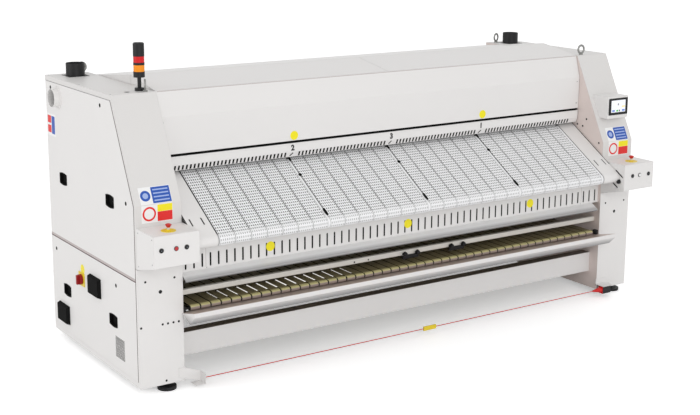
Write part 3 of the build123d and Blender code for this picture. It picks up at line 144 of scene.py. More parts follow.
def buildWeave():
    # a plain weave: threads along two axes that pass over and under each other
    tree, given, result = newGroup(
        "plainWeave",
        [("Vector", "NodeSocketVector", None), ("Threads", "NodeSocketFloat", 900.0)],
        [("Height", "NodeSocketFloat")])
    waves = []
    for direction in ("X", "Y"):
        waves.append(addNode(tree, "ShaderNodeTexWave", {
            "Vector": given["Vector"], "Scale": given["Threads"], "Distortion": 0.4, "Detail": 1.0},
            bands_direction=direction))
    height = addNode(tree, "ShaderNodeMath", {0: waves[0].outputs["Fac"], 1: waves[1].outputs["Fac"]},
                     operation="MAXIMUM")
    tree.links.new(height.outputs[0], result["Height"])
    return tree


def buildSplit():
    # 1 beyond a height or place along one axis, with a sharp border
    tree, given, result = newGroup(
        "borderMask",
        [("Value", "NodeSocketFloat", 0.0), ("Border", "NodeSocketFloat", 0.0), ("Width", "NodeSocketFloat", 0.0005)],
        [("Mask", "NodeSocketFloat")])
    high = addNode(tree, "ShaderNodeMath", {0: given["Border"], 1: given["Width"]}, operation="ADD")
    mask = addNode(tree, "ShaderNodeMapRange", {"Value": given["Value"], "From Min": given["Border"],
                                               "From Max": high.outputs[0]})
    tree.links.new(mask.outputs[0], result["Mask"])
    return tree


grain = buildGrain()
weave = buildWeave()
split = buildSplit()


def makeMaterial(name, color, roughness=0.4, metallic=0.0, scale=400.0, shade=0.03, bump=0.05, spread=0.08,
                 stretch=(1, 1, 1), coat=0.0, emission=0.0, specular=0.5, soften=0.0, threads=0.0, second=None):
    # second is (axis, border, color, width), or a list of them: another colour beyond a border along that axis;
    # "up" means the faces that look upward
    mat = bpy.data.materials.new(name)
    mat.use_nodes = True
    tree = mat.node_tree
    shader = tree.nodes["Principled BSDF"]
    place = addNode(tree, "ShaderNodeTexCoord")
    mapping = addNode(tree, "ShaderNodeMapping", {"Vector": place.outputs["Object"], "Scale": stretch})
    group = addNode(tree, "ShaderNodeGroup", node_tree=grain)
    tree.links.new(mapping.outputs["Vector"], group.inputs["Vector"])
    for key, value in (("Scale", scale), ("Shade", shade), ("Color", (*color, 1)), ("Roughness", roughness),
                       ("Spread", spread)):
        group.inputs[key].default_value = value
    below = None
    for axis, border, other, width in [second] if isinstance(second, tuple) else second or []:
        source = place.outputs["Normal" if axis == "up" else "Object"]
        parts = addNode(tree, "ShaderNodeSeparateXYZ", {"Vector": source})
        mask = addNode(tree, "ShaderNodeGroup", {"Value": parts.outputs["Z" if axis == "up" else axis],
                                                 "Border": border, "Width": width}, node_tree=split)
        mix = addNode(tree, "ShaderNodeMix", {"Factor": mask.outputs["Mask"]}, data_type="RGBA")
        # the colour sockets of a mix node: 6 and 7 are its inputs A and B, 2 its result
        mix.inputs[6].default_value = (*color, 1)
        mix.inputs[7].default_value = (*other, 1)
        if below:
            tree.links.new(below, mix.inputs[6])
        below = mix.outputs[2]
    if below:
        tree.links.new(below, group.inputs["Color"])
    height = group.outputs["Height"]
    if threads:
        cloth = addNode(tree, "ShaderNodeGroup", {"Vector": mapping.outputs["Vector"], "Threads": threads},
                        node_tree=weave)
        height = addNode(tree, "ShaderNodeMath", {0: cloth.outputs["Height"], 1: group.outputs["Height"]},
                         operation="ADD").outputs[0]
    bumpNode = addNode(tree, "ShaderNodeBump", {"Strength": bump, "Distance": 0.001, "Height": height})
    if soften:
        edge = addNode(tree, "ShaderNodeBevel", {"Radius": soften}, samples=4)
        tree.links.new(edge.outputs["Normal"], bumpNode.inputs["Normal"])
    tree.links.new(group.outputs["Color"], shader.inputs["Base Color"])
    tree.links.new(group.outputs["Roughness"], shader.inputs["Roughness"])
    tree.links.new(bumpNode.outputs["Normal"], shader.inputs["Normal"])
    shader.inputs["Metallic"].default_value = metallic
    shader.inputs["Coat Weight"].default_value = coat
    shader.inputs["Specular IOR Level"].default_value = specular
    if emission:
        tree.links.new(group.outputs["Color"], shader.inputs["Emission Color"])
        shader.inputs["Emission Strength"].default_value = emission
    return mat


along = (1, 25, 25)
white, black = (0.77, 0.755, 0.745), (0.012, 0.012, 0.013)
amber, red = (0.85, 0.27, 0.008), (0.6, 0.006, 0.01)
sharp = 0.0005  # width of a border between two colours
paint = {"scale": 900, "soften": 0.003}
shadow = {"scale": 300, "bump": 0.01, "specular": 0.1}
finish = {
    "white": makeMaterial("whitePowderCoat", white, **paint),
    # painted shade: the end covers get a darker copy of the white paint
    "cover": makeMaterial("whiteCoverPaintedShade", (0.70, 0.685, 0.672), **paint),
    # painted shade: the cross beams get a darker copy of the white paint, with dark brown on their upward faces
    "beam": makeMaterial("beamPaintedShade", (0.74, 0.725, 0.715), **paint, second=("up", 0.5, (0.13, 0.105, 0.08), 0.2)),
    "cream": makeMaterial("creamBar", (0.74, 0.72, 0.67), 0.35, scale=900, soften=0.002),
    "black": makeMaterial("blackPlastic", black, 0.45, scale=700, specular=0.3),
    "blackPaint": makeMaterial("blackCollar", white, scale=700, specular=0.3, second=("X", -2.056, black, sharp)),
    "boot": makeMaterial("redBoot", (0.62, 0.015, 0.015), 0.35, scale=500, specular=0.4,
                         second=("X", 1.756, black, sharp)),
    # painted shade with a pinkish reflected tint on the right frame's inner face, below X 1.7655; beyond it the white
    # paint
    "frameWall": makeMaterial("innerWallPaintedShade", (0.72, 0.625, 0.59), **paint, second=("X", 1.7655, white, sharp)),
    # black rubber for the fittings, dividers and screw caps, and also the black sheets and inlays of painted shade
    # behind the guard, the apron and the belts
    "rubber": makeMaterial("blackRubberAndShade", (0.006, 0.006, 0.006), 0.85, scale=500, bump=0.2, specular=0.1),
    "grey": makeMaterial("motorGrey", (0.22, 0.24, 0.27), 0.45),
    "steel": makeMaterial("turnedSteel", (0.5, 0.5, 0.5), 0.32, 1.0, scale=60, stretch=along, bump=0.08),
    # painted shade: the exit nose roller is near-black, unlike the other steel rollers, so the gaps between the exit
    # belts look black
    "darkSteel": makeMaterial("darkRollerPaintedShade", (0.012, 0.011, 0.01), 0.6, scale=60, specular=0.2),
    "sheetSteel": makeMaterial("brushedSheet", (0.74, 0.74, 0.74), 0.42, 0.25, scale=40, stretch=along, bump=0.02),
    # painted reflection and shade: the gutter is pale on its upper slope and dark grey towards its lower lip
    "gutter": makeMaterial("gutterPaintedShade", (0.11, 0.11, 0.113), 0.38, 0.2, scale=40, stretch=along, bump=0.02,
                           second=("Z", 0.68, (0.9, 0.9, 0.9), 0.033)),
    # painted shade below Z 0.436 and a pinkish brown painted reflection and shade on the upward faces; the white
    # between is the tray's paint
    "traySteel": makeMaterial("trayPaintedShade", (0.28, 0.28, 0.285), 0.34, 0.2, scale=300, bump=0.01, spread=0.02,
                              second=[("Z", 0.436, (0.78, 0.76, 0.75), 0.06), ("up", 0.5, (0.66, 0.54, 0.485), 0.2)]),
    "innerSteel": makeMaterial("suctionBoxSheet", (0.05, 0.05, 0.05), 0.5, 0.3, scale=40),
    "iron": makeMaterial("castIron", (0.03, 0.03, 0.031), 0.7, scale=150, bump=0.3, specular=0.2),
    "zinc": makeMaterial("zincSteel", (0.3, 0.3, 0.29), 0.4, 0.8, scale=120, bump=0.1),
    "feedBelt": makeMaterial("feedBeltCloth", (0.9, 0.9, 0.91), 0.6, scale=1400, bump=0.2, specular=0.3, threads=260),
    # painted light on the exit belts: an olive-yellow painted highlight above Z 0.5025 at the nose's bend, brown-grey
    # painted shade on the faces below it, darker painted shade on the run behind Y -0.552
    "exitBelt": makeMaterial("exitBeltClothPaintedLight", (0.37, 0.30, 0.27), 0.36, scale=900, bump=0.2, threads=180,
                             second=[("Z", 0.5025, (0.56, 0.51, 0.24), 0.004),
                                     ("Y", -0.552, (0.21, 0.175, 0.09), 0.016)]),
    "felt": makeMaterial("ironingBeltCloth", (0.2, 0.165, 0.1), 0.8, scale=900, bump=0.4, specular=0.2, threads=120),
    "red": makeMaterial("redPlastic", (0.5, 0.02, 0.025), 0.3, coat=0.3),
    "darkRed": makeMaterial("switchKnob", (0.3, 0.008, 0.01), 0.45, specular=0.3),
    "stopHead": makeMaterial("mushroomHead", (0.62, 0.61, 0.6), 0.35, second=("Z", 1.078, (0.55, 0.012, 0.02), sharp)),
    "yellow": makeMaterial("yellowPlastic", (0.8, 0.6, 0.02)),
    "whitePlastic": makeMaterial("whitePlastic", (0.8, 0.8, 0.8), 0.35),
    # painted light: the glowing strips between the exit belts
    "strip": makeMaterial("gapLightStrip", (0.9, 0.89, 0.86), scale=500, bump=0.01, emission=0.8),
    "lens": makeMaterial("towerLens", amber, 0.3, coat=0.1, emission=0.04, specular=0.3,
                         second=("Z", 1.982, red, sharp)),
    "rope": makeMaterial("redRope", (0.6, 0.04, 0.035), scale=800, bump=0.3),
    "seam": makeMaterial("seamShadow", (0.06, 0.025, 0.03), 0.8, **shadow),
    "band": makeMaterial("seamBand", (0.52, 0.47, 0.46), 0.6, scale=300, bump=0.01, specular=0.2),
    "ventDark": makeMaterial("ventShadow", (0.1, 0.095, 0.095), 0.8, **shadow),
    "chrome": makeMaterial("bezelRing", (0.1, 0.1, 0.1), 0.3, 0.6, scale=200),
    "screw": makeMaterial("screwSteel", (0.45, 0.45, 0.45), 0.35, 0.6, scale=300),
}
nodeFinish = {
    "frameWall": ["side_frame_right"],
    "cover": ["end_cover_right", "end_cover_left"],
    "beam": ["cross_beams"],
    "white": ["side_frame_left", "pillar_covers", "side_panels_upper", "side_panels_lower", "rear_cover", "hood_rear",
              "top_lids", "hood_front", "finger_guard", "feed_end_covers", "slotted_apron", "control_box_right",
              "control_box_left", "hmi_housing", "rope_brackets"],
    "rubber": ["panel_fittings"],
    "boot": ["rope_switch"],
    "black": ["button_left_outer", "button_left_inner", "button_right_inner", "button_right_outer", "hmi_panel",
              "tower_body", "levelling_feet"],
    "blackPaint": ["duct_collars"],
    "grey": ["gearmotors"],
    "steel": ["feed_nose_roller", "feed_drive_roller", "exit_drive_roller", "press_roller", "return_roller",
              "guide_roller", "tension_roller", "heated_cylinder"],
    "darkSteel": ["exit_nose_roller"],
    "sheetSteel": ["exhaust_fans"],
    "gutter": ["gutter"],
    "traySteel": ["exit_tray"],
    "innerSteel": ["suction_box"],
    "cream": ["cross_bar"],
    "chrome": ["button_bezels"],
    "iron": ["roller_bearings"],
    "zinc": ["lifting_eyes"],
    "feedBelt": ["feed_belts"],
    "exitBelt": ["exit_belts"],
    "felt": ["ironing_belts"],
    "stopHead": ["estop_head_left", "estop_head_right"],
    "red": ["button_left_stop"],
    "darkRed": ["main_switch_knob"],
    "yellow": ["estop_bases", "main_switch_plate", "rope_tag"],
    "whitePlastic": ["button_right_start"],
    "lens": ["tower_lenses"],
    "rope": ["pull_rope"],
}
for name, nodes in nodeFinish.items():
    for node in nodes:
        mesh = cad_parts[node].data
        mesh.materials.clear()
        mesh.materials.append(finish[name])
ropeObject.data.materials.append(finish["rope"])
print("materials:", len(finish))

# ---- geometry nodes trees for what repeats


def newGeometryTree(name, inputs):
    return newGroup(name, [("Geometry", "NodeSocketGeometry", None), *inputs], [("Geometry", "NodeSocketGeometry")],
                    "GeometryNodeTree")


def endTree(tree, given, result, instances):
    real = addNode(tree, "GeometryNodeRealizeInstances", {"Geometry": instances.outputs["Instances"]})
    colored = addNode(tree, "GeometryNodeSetMaterial", {"Geometry": real.outputs["Geometry"],
                                                       "Material": given["Material"]})
    tree.links.new(colored.outputs["Geometry"], result["Geometry"])


def buildRow():
    # copies of the base mesh side by side along X
    tree, given, result = newGeometryTree("rowOfCopies", [
        ("Count", "NodeSocketInt", 7), ("Pitch", "NodeSocketFloat", 0.1), ("Material", "NodeSocketMaterial", None)])
    step = addNode(tree, "ShaderNodeCombineXYZ", {"X": given["Pitch"]})
    line = addNode(tree, "GeometryNodeMeshLine", {"Count": given["Count"], "Offset": step.outputs[0]},
                   mode="OFFSET")
    copies = addNode(tree, "GeometryNodeInstanceOnPoints", {"Points": line.outputs["Mesh"],
                                                           "Instance": given["Geometry"]})
    endTree(tree, given, result, copies)
    return tree


def buildHeads():
    # low round heads with a narrower top on the base mesh's points, standing along the tilted Z
    tree, given, result = newGeometryTree("roundHeads", [
        ("Radius", "NodeSocketFloat", 0.006), ("Height", "NodeSocketFloat", 0.002), ("Taper", "NodeSocketFloat", 0.6),
        ("Sides", "NodeSocketInt", 12), ("Tilt", "NodeSocketVector", None), ("Material", "NodeSocketMaterial", None)])
    top = addNode(tree, "ShaderNodeMath", {0: given["Radius"], 1: given["Taper"]},
                  operation="MULTIPLY")
    head = addNode(tree, "GeometryNodeMeshCone", {
        "Vertices": given["Sides"], "Radius Top": top.outputs[0], "Radius Bottom": given["Radius"],
        "Depth": given["Height"]})
    turn = addNode(tree, "FunctionNodeEulerToRotation", {"Euler": given["Tilt"]})
    copies = addNode(tree, "GeometryNodeInstanceOnPoints", {
        "Points": given["Geometry"], "Instance": head.outputs["Mesh"], "Rotation": turn.outputs["Rotation"]})
    endTree(tree, given, result, copies)
    return tree


rowTree = buildRow()
headTree = buildHeads()


def grow(name, mesh, tree, values, body, smooth=False):
    # runs one tree on a mesh and keeps the plain result
    base = bpy.data.objects.new(name + "Base", mesh)
    bpy.context.collection.objects.link(base)
    modifier = base.modifiers.new("tree", "NODES")
    modifier.node_group = tree
    names = {s.name: s.identifier for s in tree.interface.items_tree if s.in_out == "INPUT"}
    for key, value in values.items():
        modifier[names[key]] = value
    base.update_tag()
    graph = bpy.context.evaluated_depsgraph_get()
    made = bpy.data.meshes.new_from_object(base.evaluated_get(graph))
    base.modifiers.remove(modifier)
    bpy.data.objects.remove(base)
    if smooth:
        made.shade_smooth()
    return keep(name, made, body)


def keep(name, mesh, body, material=None):
    mesh.name = name
    if material:
        mesh.materials.clear()
        mesh.materials.append(material)
    obj = bpy.data.objects.new(name, mesh)
    bpy.context.collection.objects.link(obj)
    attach(obj, body)
    return obj


def meshFrom(bm, name, smooth=False):
    bmesh.ops.recalc_face_normals(bm, faces=bm.faces)
    mesh = bpy.data.meshes.new(name)
    bm.to_mesh(mesh)
    bm.free()
    if smooth:
        mesh.shade_smooth()
    return mesh


def keepShape(bm, name, look, body="machine"):
    keep(name, meshFrom(bm, name), body, finish[look])


def joinRings(bm, first, second):
    for i in range(len(first)):
        j = (i + 1) % len(first)
        bm.faces.new([first[i], first[j], second[j], second[i]])


def addSheet(bm, ends, upper, lower):
    # a bent sheet from one x to another, its two faces given as lines of (y, z)
    rings = [[bm.verts.new((x, *p)) for p in [*upper, *lower[::-1]]] for x in ends]
    joinRings(bm, *rings)
    for ring in rings:
        for i in range(len(upper) - 1):
            bm.faces.new([ring[i], ring[i + 1], ring[-2 - i], ring[-1 - i]])


def addPrism(bm, origin, right, up, outline, low, high):
    # a flat shape with its outline given along right and up, standing from low to high off its plane
    right, up = Vector(right), Vector(up)
    out = right.cross(up)
    rings = [[bm.verts.new(Vector(origin) + right * a + up * b + out * h) for a, b in outline] for h in (low, high)]
    bm.faces.new(rings[1])
    bm.faces.new(rings[0][::-1])
    joinRings(bm, *rings)


def rounded(width, height, corner, steps=4, x=0.0, y=0.0):
    points = []
    for k, (sx, sy) in enumerate(((1, 1), (-1, 1), (-1, -1), (1, -1))):
        for i in range(steps + 1):
            angle = math.pi / 2 * (k + i / steps)
            points.append((x + sx * (width / 2 - corner) + corner * math.cos(angle),
                           y + sy * (height / 2 - corner) + corner * math.sin(angle)))
    return points


def disc(radius, x=0.0, steps=32, stretch=1.0):
    angles = [2 * math.pi * i / steps for i in range(steps)]
    return [(x + radius * math.cos(a), radius * stretch * math.sin(a)) for a in angles]


# ---- feed belts: endless bands with rows of holes, seven to a group
feedBelt = {"nose": (-0.722, 0.957), "incline": 31.4, "length": 0.635, "radius": 0.039, "thickness": 0.002,
            "pitch": 0.1117, "groupPitch": 0.8, "gap": 0.0072, "groups": 4, "perGroup": 7, "holesAcross": 7,
            "rowPitch": 0.024, "holeAcross": 0.0042, "holeAlong": 0.0084, "cell": 0.0182, "noseStep": 0.0045,
            "start": -1.6, "backSteps": 12, "merge": 0.00002, "sharp": 35}


def beltPoint(v, s, depth):
    # a point on the upper run or the nose, s measured down the upper face from the nose's tangent
    tilt = math.radians(v["incline"])
    radius = v["radius"] - depth
    if s <= 0:
        angle = tilt + math.pi / 2
        extra = -s
        return (v["nose"][0] + radius * math.cos(angle) + extra * math.cos(tilt),
                v["nose"][1] + radius * math.sin(angle) + extra * math.sin(tilt))
    angle = tilt + math.pi / 2 + s / v["radius"]
    return v["nose"][0] + radius * math.cos(angle), v["nose"][1] + radius * math.sin(angle)


def drivePoint(v, s, depth):
    # a point on the far roller or the lower run, s measured from the end of the upper run
    tilt = math.radians(v["incline"])
    radius = v["radius"] - depth
    y = v["nose"][0] + v["length"] * math.cos(tilt)
    z = v["nose"][1] + v["length"] * math.sin(tilt)
    angle = tilt + math.pi / 2 - s / v["radius"]
    return y + radius * math.cos(angle), z + radius * math.sin(angle)


def holedRow(bm, v, edges, low, high, middle):
    # one row of the belt between two distances, with a hole in each cell
    corner = {}

    def vertex(x, s, depth):
        key = (round(x, 6), round(s, 6), depth)
        if key not in corner:
            y, z = beltPoint(v, s, depth)
            corner[key] = bm.verts.new((x, y, z))
        return corner[key]

    # eight-sided holes, two of their corners to each corner of the cell
    turns = [math.radians(22.5 + 45 * k) for k in range(8)]
    for left, right in zip(edges, edges[1:]):
        center = (left + right) / 2
        ring = [(center + v["holeAcross"] * math.cos(a), middle + v["holeAlong"] * math.sin(a)) for a in turns]
        square = [(right, high), (left, high), (left, low), (right, low)]
        for depth, flip in ((0.0, False), (v["thickness"], True)):
            r = [vertex(x, s, depth) for x, s in ring]
            q = [vertex(x, s, depth) for x, s in square]
            faces = []
            for k in range(4):
                faces.append([q[k], r[2 * k], r[2 * k + 1]])
                faces.append([q[k], r[2 * k + 1], r[(2 * k + 2) % 8], q[(k + 1) % 4]])
            for face in faces:
                bm.faces.new(face[::-1] if flip else face)
        for k in range(8):
            a, b = ring[k], ring[(k + 1) % 8]
            bm.faces.new([vertex(*a, 0.0), vertex(*a, v["thickness"]), vertex(*b, v["thickness"]),
                          vertex(*b, 0.0)])


def makeFeedBelts(v):
    bm = bmesh.new()
    left = v["start"] + v["gap"] / 2
    width = v["pitch"] - v["gap"]
    edges = [left + width * k / v["holesAcross"] for k in range(v["holesAcross"] + 1)]
    rows = int(v["length"] / v["rowPitch"])
    noseEnd = math.pi * v["radius"]
    noseRows = int(noseEnd / v["rowPitch"])
    cells = []
    s = -rows * v["rowPitch"]
    stations = [-v["length"]]
    for _ in range(rows + noseRows):
        middle = s + v["rowPitch"] / 2
        low, high = middle - v["cell"] / 2, middle + v["cell"] / 2
        cells.append((low, high, middle))
        stations += [low, high]
        s += v["rowPitch"]
    stations.append(noseEnd)
    runs = []
    for a, b in zip(stations[::2], stations[1::2]):
        count = max(1, int((b - a) / v["noseStep"])) if b > 0 else 1
        runs.append([a + (b - a) * k / count for k in range(count + 1)])
    for low, high, middle in cells:
        holedRow(bm, v, edges, low, high, middle)
    # plain bands between the rows, then the far roller and the lower run
    depths = (0.0, v["thickness"])
    lines = [[beltPoint(v, t, depth) for t in run] for run in runs for depth in depths]
    back = [[drivePoint(v, math.pi * v["radius"] * k / v["backSteps"], depth) for k in range(v["backSteps"] + 1)] +
            [beltPoint(v, noseEnd, depth)] for depth in depths]
    for line in lines + back:
        for p, q in zip(line, line[1:]):
            for x0, x1 in zip(edges, edges[1:]):
                bm.faces.new([bm.verts.new(c) for c in ((x0, *p), (x1, *p), (x1, *q), (x0, *q))])
    # the two long edges
    path = sorted({round(t, 6) for run in runs for t in run} | {round(t, 6) for c in cells for t in c[:2]})
    front = [[beltPoint(v, t, depth) for t in path] for depth in depths]
    for x in (edges[0], edges[-1]):
        for top, under in (front, back):
            for i in range(len(top) - 1):
                bm.faces.new([bm.verts.new((x, *p)) for p in (top[i], top[i + 1], under[i + 1], under[i])])
    bmesh.ops.remove_doubles(bm, verts=bm.verts, dist=v["merge"])
    loose = sum(1 for e in bm.edges if len(e.link_faces) != 2)
    print("feed belt: faces", len(bm.faces), "open edges", loose)
    single = meshFrom(bm, "feedBelt")
    for g in range(v["groups"]):
        mesh = single.copy()
        mesh.transform(Matrix.Translation((g * v["groupPitch"], 0, 0)))
        obj = grow("feedBelts%d" % (g + 1), mesh, rowTree, {
            "Count": v["perGroup"], "Pitch": v["pitch"], "Material": finish["feedBelt"]}, "machine")
        obj.data.set_sharp_from_angle(angle=math.radians(v["sharp"]))
        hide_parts("feed_belts")


makeFeedBelts(feedBelt)
print("feed belts done")

# ---- exit belts
exitBelt = {"nose": (-0.553, 0.498), "noseRadius": 0.017, "drive": (-0.063, 0.481), "driveRadius": 0.034,
            "thickness": 0.002, "count": 47, "half": 1.709, "gap": 0.0107, "steps": 14, "sharp": 40}


def makeExitBelts(v):
    taper = 2 * math.atan2(v["driveRadius"] - v["noseRadius"], v["drive"][0] - v["nose"][0])
    loops = []
    for depth in (0.0, v["thickness"]):
        line = []
        for place, radius, start, turn in (
                (v["nose"], v["noseRadius"], math.pi / 2, math.pi - taper),
                (v["drive"], v["driveRadius"], -math.pi / 2 - taper, math.pi + taper)):
            for k in range(v["steps"] + 1):
                angle = start + turn * k / v["steps"]
                line.append((place[0] + (radius - depth) * math.cos(angle),
                             place[1] + (radius - depth) * math.sin(angle)))
        loops.append(line)
    pitch = 2 * v["half"] / v["count"]
    x0 = -v["half"] + v["gap"] / 2
    x1 = x0 + pitch - v["gap"]
    bm = bmesh.new()
    upper, under = loops
    rings = [[bm.verts.new((x, *p)) for p in line] for line, x in ((upper, x0), (upper, x1), (under, x1), (under, x0))]
    for a, b in zip(rings, rings[1:] + rings[:1]):
        joinRings(bm, a, b)
    mesh = meshFrom(bm, "exitBelt")
    obj = grow("exitBelts", mesh, rowTree, {"Count": v["count"], "Pitch": pitch, "Material": finish["exitBelt"]},
               "machine", smooth=True)
    obj.data.set_sharp_from_angle(angle=math.radians(v["sharp"]))
    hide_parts("exit_belts")


makeExitBelts(exitBelt)
print("exit belts done")

# ---- flat marks, plates and strips
knee, cabinetTop = 1.192, 1.815
outer, inner = 2.06, 1.76
pillarFront, topFront = -0.578, -0.265
slopeUp = Vector((0, topFront - pillarFront, cabinetTop - knee)).normalized()
tilt = math.radians(feedBelt["incline"])
beltUp = Vector((0, math.cos(tilt), math.sin(tilt)))
beltOut = Vector((0, -math.sin(tilt), math.cos(tilt)))
noseTop = Vector((0, *feedBelt["nose"])) + beltOut * feedBelt["radius"]
toRight = Vector((1, 0, 0))
frontPlane = (toRight, (0, 0, 1))
leftPlane = ((0, -1, 0), (0, 0, 1))
topPlane = (toRight, (0, 1, 0))
slantPlane = (toRight, slopeUp)
tablePlane = (toRight, beltUp)
colors = {"markWhite": (0.85, 0.85, 0.85), "markBlue": (0.01, 0.08, 0.42), "markPale": (0.35, 0.45, 0.75),
          "markYellow": (0.9, 0.78, 0.0), "markRed": (0.75, 0.012, 0.01), "markBlack": (0.01, 0.01, 0.01)}
for name, color in colors.items():
    finish[name] = makeMaterial(name, color, 0.35, scale=500, bump=0.02)


def slantPoint(x, z):
    # a point on the cabinets' sloping front
    return Vector((x, pillarFront + (z - knee) * slopeUp.y / slopeUp.z, z))


def tablePoint(x, distance):
    # a point on the feed belts' upper face, the distance measured up the slope from the nose
    return noseTop + beltUp * distance + toRight * x


def makeFlat(name, rows, look, body="machine", steps=4):
    # one piece made of flat strips: origin, plane, (width, height, corner), low, high
    bm = bmesh.new()
    for origin, plane, size, low, high in rows:
        addPrism(bm, origin, *plane, rounded(*size, steps), low, high)
    keepShape(bm, name, look, body)


def cabinetPlates(middle):
    # the two plates on one cabinet's front: origin, plane, then colour, layer and outline of each part
    upper = [("markWhite", 1, rounded(0.205, 0.108, 0.004)), ("markBlue", 2, disc(0.033, -0.064)),
             ("markBlue", 2, rounded(0.122, 0.1, 0.002, x=0.039))]
    upper += [("markPale", 3, rounded(0.1, 0.008, 0.002, x=0.039, y=0.033 - 0.022 * k)) for k in range(4)]
    upper += [("markPale", 3, disc(0.018, -0.064))]
    lower = [("markWhite", 1, rounded(0.205, 0.108, 0.004)), ("markRed", 2, disc(0.044, -0.052)),
             ("markWhite", 3, disc(0.0325, -0.052)), ("markYellow", 2, rounded(0.098, 0.042, 0.002, x=0.051, y=0.03)),
             ("markRed", 2, rounded(0.098, 0.058, 0.002, x=0.051, y=-0.021))]
    return [(slantPoint(middle, 1.241), slantPlane, upper), ((middle, pillarFront, 1.135), frontPlane, lower)]


def yellowDisc(origin, plane, radius=0.032):
    return (origin, plane, [("markYellow", 1, disc(radius))])


plates = cabinetPlates(-1.920) + cabinetPlates(1.921)
plates += [yellowDisc((x, -0.2985, 1.452), frontPlane, 0.03) for x in (-0.788, 0.812)]
plates += [yellowDisc((x, -0.55, 0.806), frontPlane) for x in (-1.122, -0.032, 1.075)]
plates += [yellowDisc((-outer, 0.276, 0.597), leftPlane),
           ((-outer, 0.727, 1.49), leftPlane, [
               ("markWhite", 1, rounded(0.15, 0.15, 0.004)),
               ("markRed", 2, rounded(0.06, 0.05, 0.003, x=-0.03, y=0.035)),
               ("markBlue", 2, rounded(0.055, 0.12, 0.003, x=0.035)),
               ("markRed", 2, rounded(0.06, 0.05, 0.003, x=-0.03, y=-0.03))])]
plateSlots = {"markWhite": "white_plastic", "markBlue": "panel_black", "markPale": "white_plastic",
              "markYellow": "yellow_plastic", "markRed": "red_plastic"}


def makePlates(v):
    # one piece per colour; the higher layers lie on the first one
    for color, slot in plateSlots.items():
        bm = bmesh.new()
        for origin, plane, parts in v:
            for name, layer, outline in parts:
                if name == color:
                    addPrism(bm, origin, *plane, outline, 0.0001 if layer == 1 else 0.0004, 0.0003 + 0.0002 * layer)
        keepShape(bm, "plates" + color[4:], color)


makePlates(plates)

# ---- guard strip: lane numbers, a black sheet of painted shade behind the strip, a tick beside each number, black inlays of painted shade in the slots
guard = {"front": -0.300, "bend": 1.345, "tip": (-0.284, 1.308), "half": 1.754, "numberSize": 0.05,
         "numberHeight": 1.3695, "numberBold": 0.0026, "numberDepth": 0.0002, "numberOut": 0.0003,
         "merge": 0.000001, "lanes": (("2", -0.8), ("3", 0.0), ("1", 0.8)), "groups": (-1.2, -0.4, 0.4, 1.2),
         "pitch": 0.72 / 26, "slots": 26, "slot": (0.0122, 0.034, 0.001), "slotLift": 0.0005, "more": 4,
         "shadeSheetClear": 0.01, "tick": (0.032, 0.0085, 0.003), "tickTurn": 47, "tickLeft": 0.006}


def makeLaneNumbers(v):
    bm = bmesh.new()
    for text, x in v["lanes"]:
        curve = bpy.data.curves.new("lane" + text, "FONT")
        curve.body, curve.size, curve.extrude = text, v["numberSize"], v["numberDepth"]
        curve.offset = v["numberBold"]
        curve.align_x, curve.align_y = "CENTER", "CENTER"
        obj = bpy.data.objects.new("lane" + text, curve)
        bpy.context.collection.objects.link(obj)
        mesh = bpy.data.meshes.new_from_object(obj.evaluated_get(bpy.context.evaluated_depsgraph_get()))
        bpy.data.objects.remove(obj)
        mesh.transform(Matrix.Translation((x, v["front"] - v["numberOut"], v["numberHeight"])) @
                       Matrix.Rotation(math.radians(90), 4, "X"))
        bm.from_mesh(mesh)
    bmesh.ops.remove_doubles(bm, verts=bm.verts, dist=v["merge"])
    keepShape(bm, "laneNumbers", "markBlack", "guard")


def makeGuardDetails(v):
    tip, bend = Vector((0, *v["tip"])), Vector((0, v["front"], v["bend"]))
    middle, up = (tip + bend) / 2, (bend - tip).normalized()
    turn = math.radians(v["tickTurn"])
    tickPlane = (toRight * math.cos(turn) + up * math.sin(turn), up * math.cos(turn) - toRight * math.sin(turn))
    # painted shade: a black sheet behind the guard strip
    makeFlat("guardShadeSheet", [(middle, (toRight, up), (2 * v["half"] - v["shadeSheetClear"], 0.034, 0.002), -0.0042, -0.0023)],
             "rubber", "guard")
    makeFlat("laneTicks", [(middle + toRight * (x - v["tickLeft"]), tickPlane, v["tick"], 0.0001, 0.0005)
                           for _, x in v["lanes"]], "markBlack", "guard")
    # painted shade: black inlays filling the guard's slots
    reach = v["pitch"] * (v["slots"] - 1) / 2
    places = [g - reach + v["pitch"] * i for g in v["groups"] for i in range(v["slots"])]
    places += [s * (v["groups"][-1] + reach + v["pitch"] * i) for s in (-1, 1) for i in range(1, v["more"] + 1)]
    makeFlat("guardSlotShade", [(middle + up * v["slotLift"] + toRight * x, (toRight, up), v["slot"], -0.0006, 0.0004)
                            for x in places], "rubber", "guard", steps=1)


makeLaneNumbers(guard)
makeGuardDetails(guard)

# ---- strips and studs between the groups of feed belts, and the plain strip left of each
divider = {"places": (-0.8, 0.0, 0.8), "width": 0.0026, "from": 0.062, "to": 0.572, "top": 0.0034,
           "studs": ((0.412, 0.0115, 0.0125), (0.055, 0.0095, 0.034), (0.57, 0.0075, 0.026)),
           "studHeights": (0.0005, 0.0052), "studSides": 20}
plainStrip = {"places": (-0.8, 0.0, 0.8, 1.6), "width": 0.0165, "clear": 0.0015, "to": 0.572,
              "depths": (0.0006, 0.0019), "noseSteps": 12}


def makeDividers(v):
    bm = bmesh.new()
    for x in v["places"]:
        addPrism(bm, tablePoint(x, (v["from"] + v["to"]) / 2), *tablePlane,
                 rounded(v["width"], v["to"] - v["from"], 0.001), 0.0, v["top"])
        for place, halfWidth, halfLength in v["studs"]:
            outline = disc(halfWidth, steps=v["studSides"], stretch=halfLength / halfWidth)
            addPrism(bm, tablePoint(x, place), *tablePlane, outline, *v["studHeights"])
    keepShape(bm, "beltDividers", "rubber")


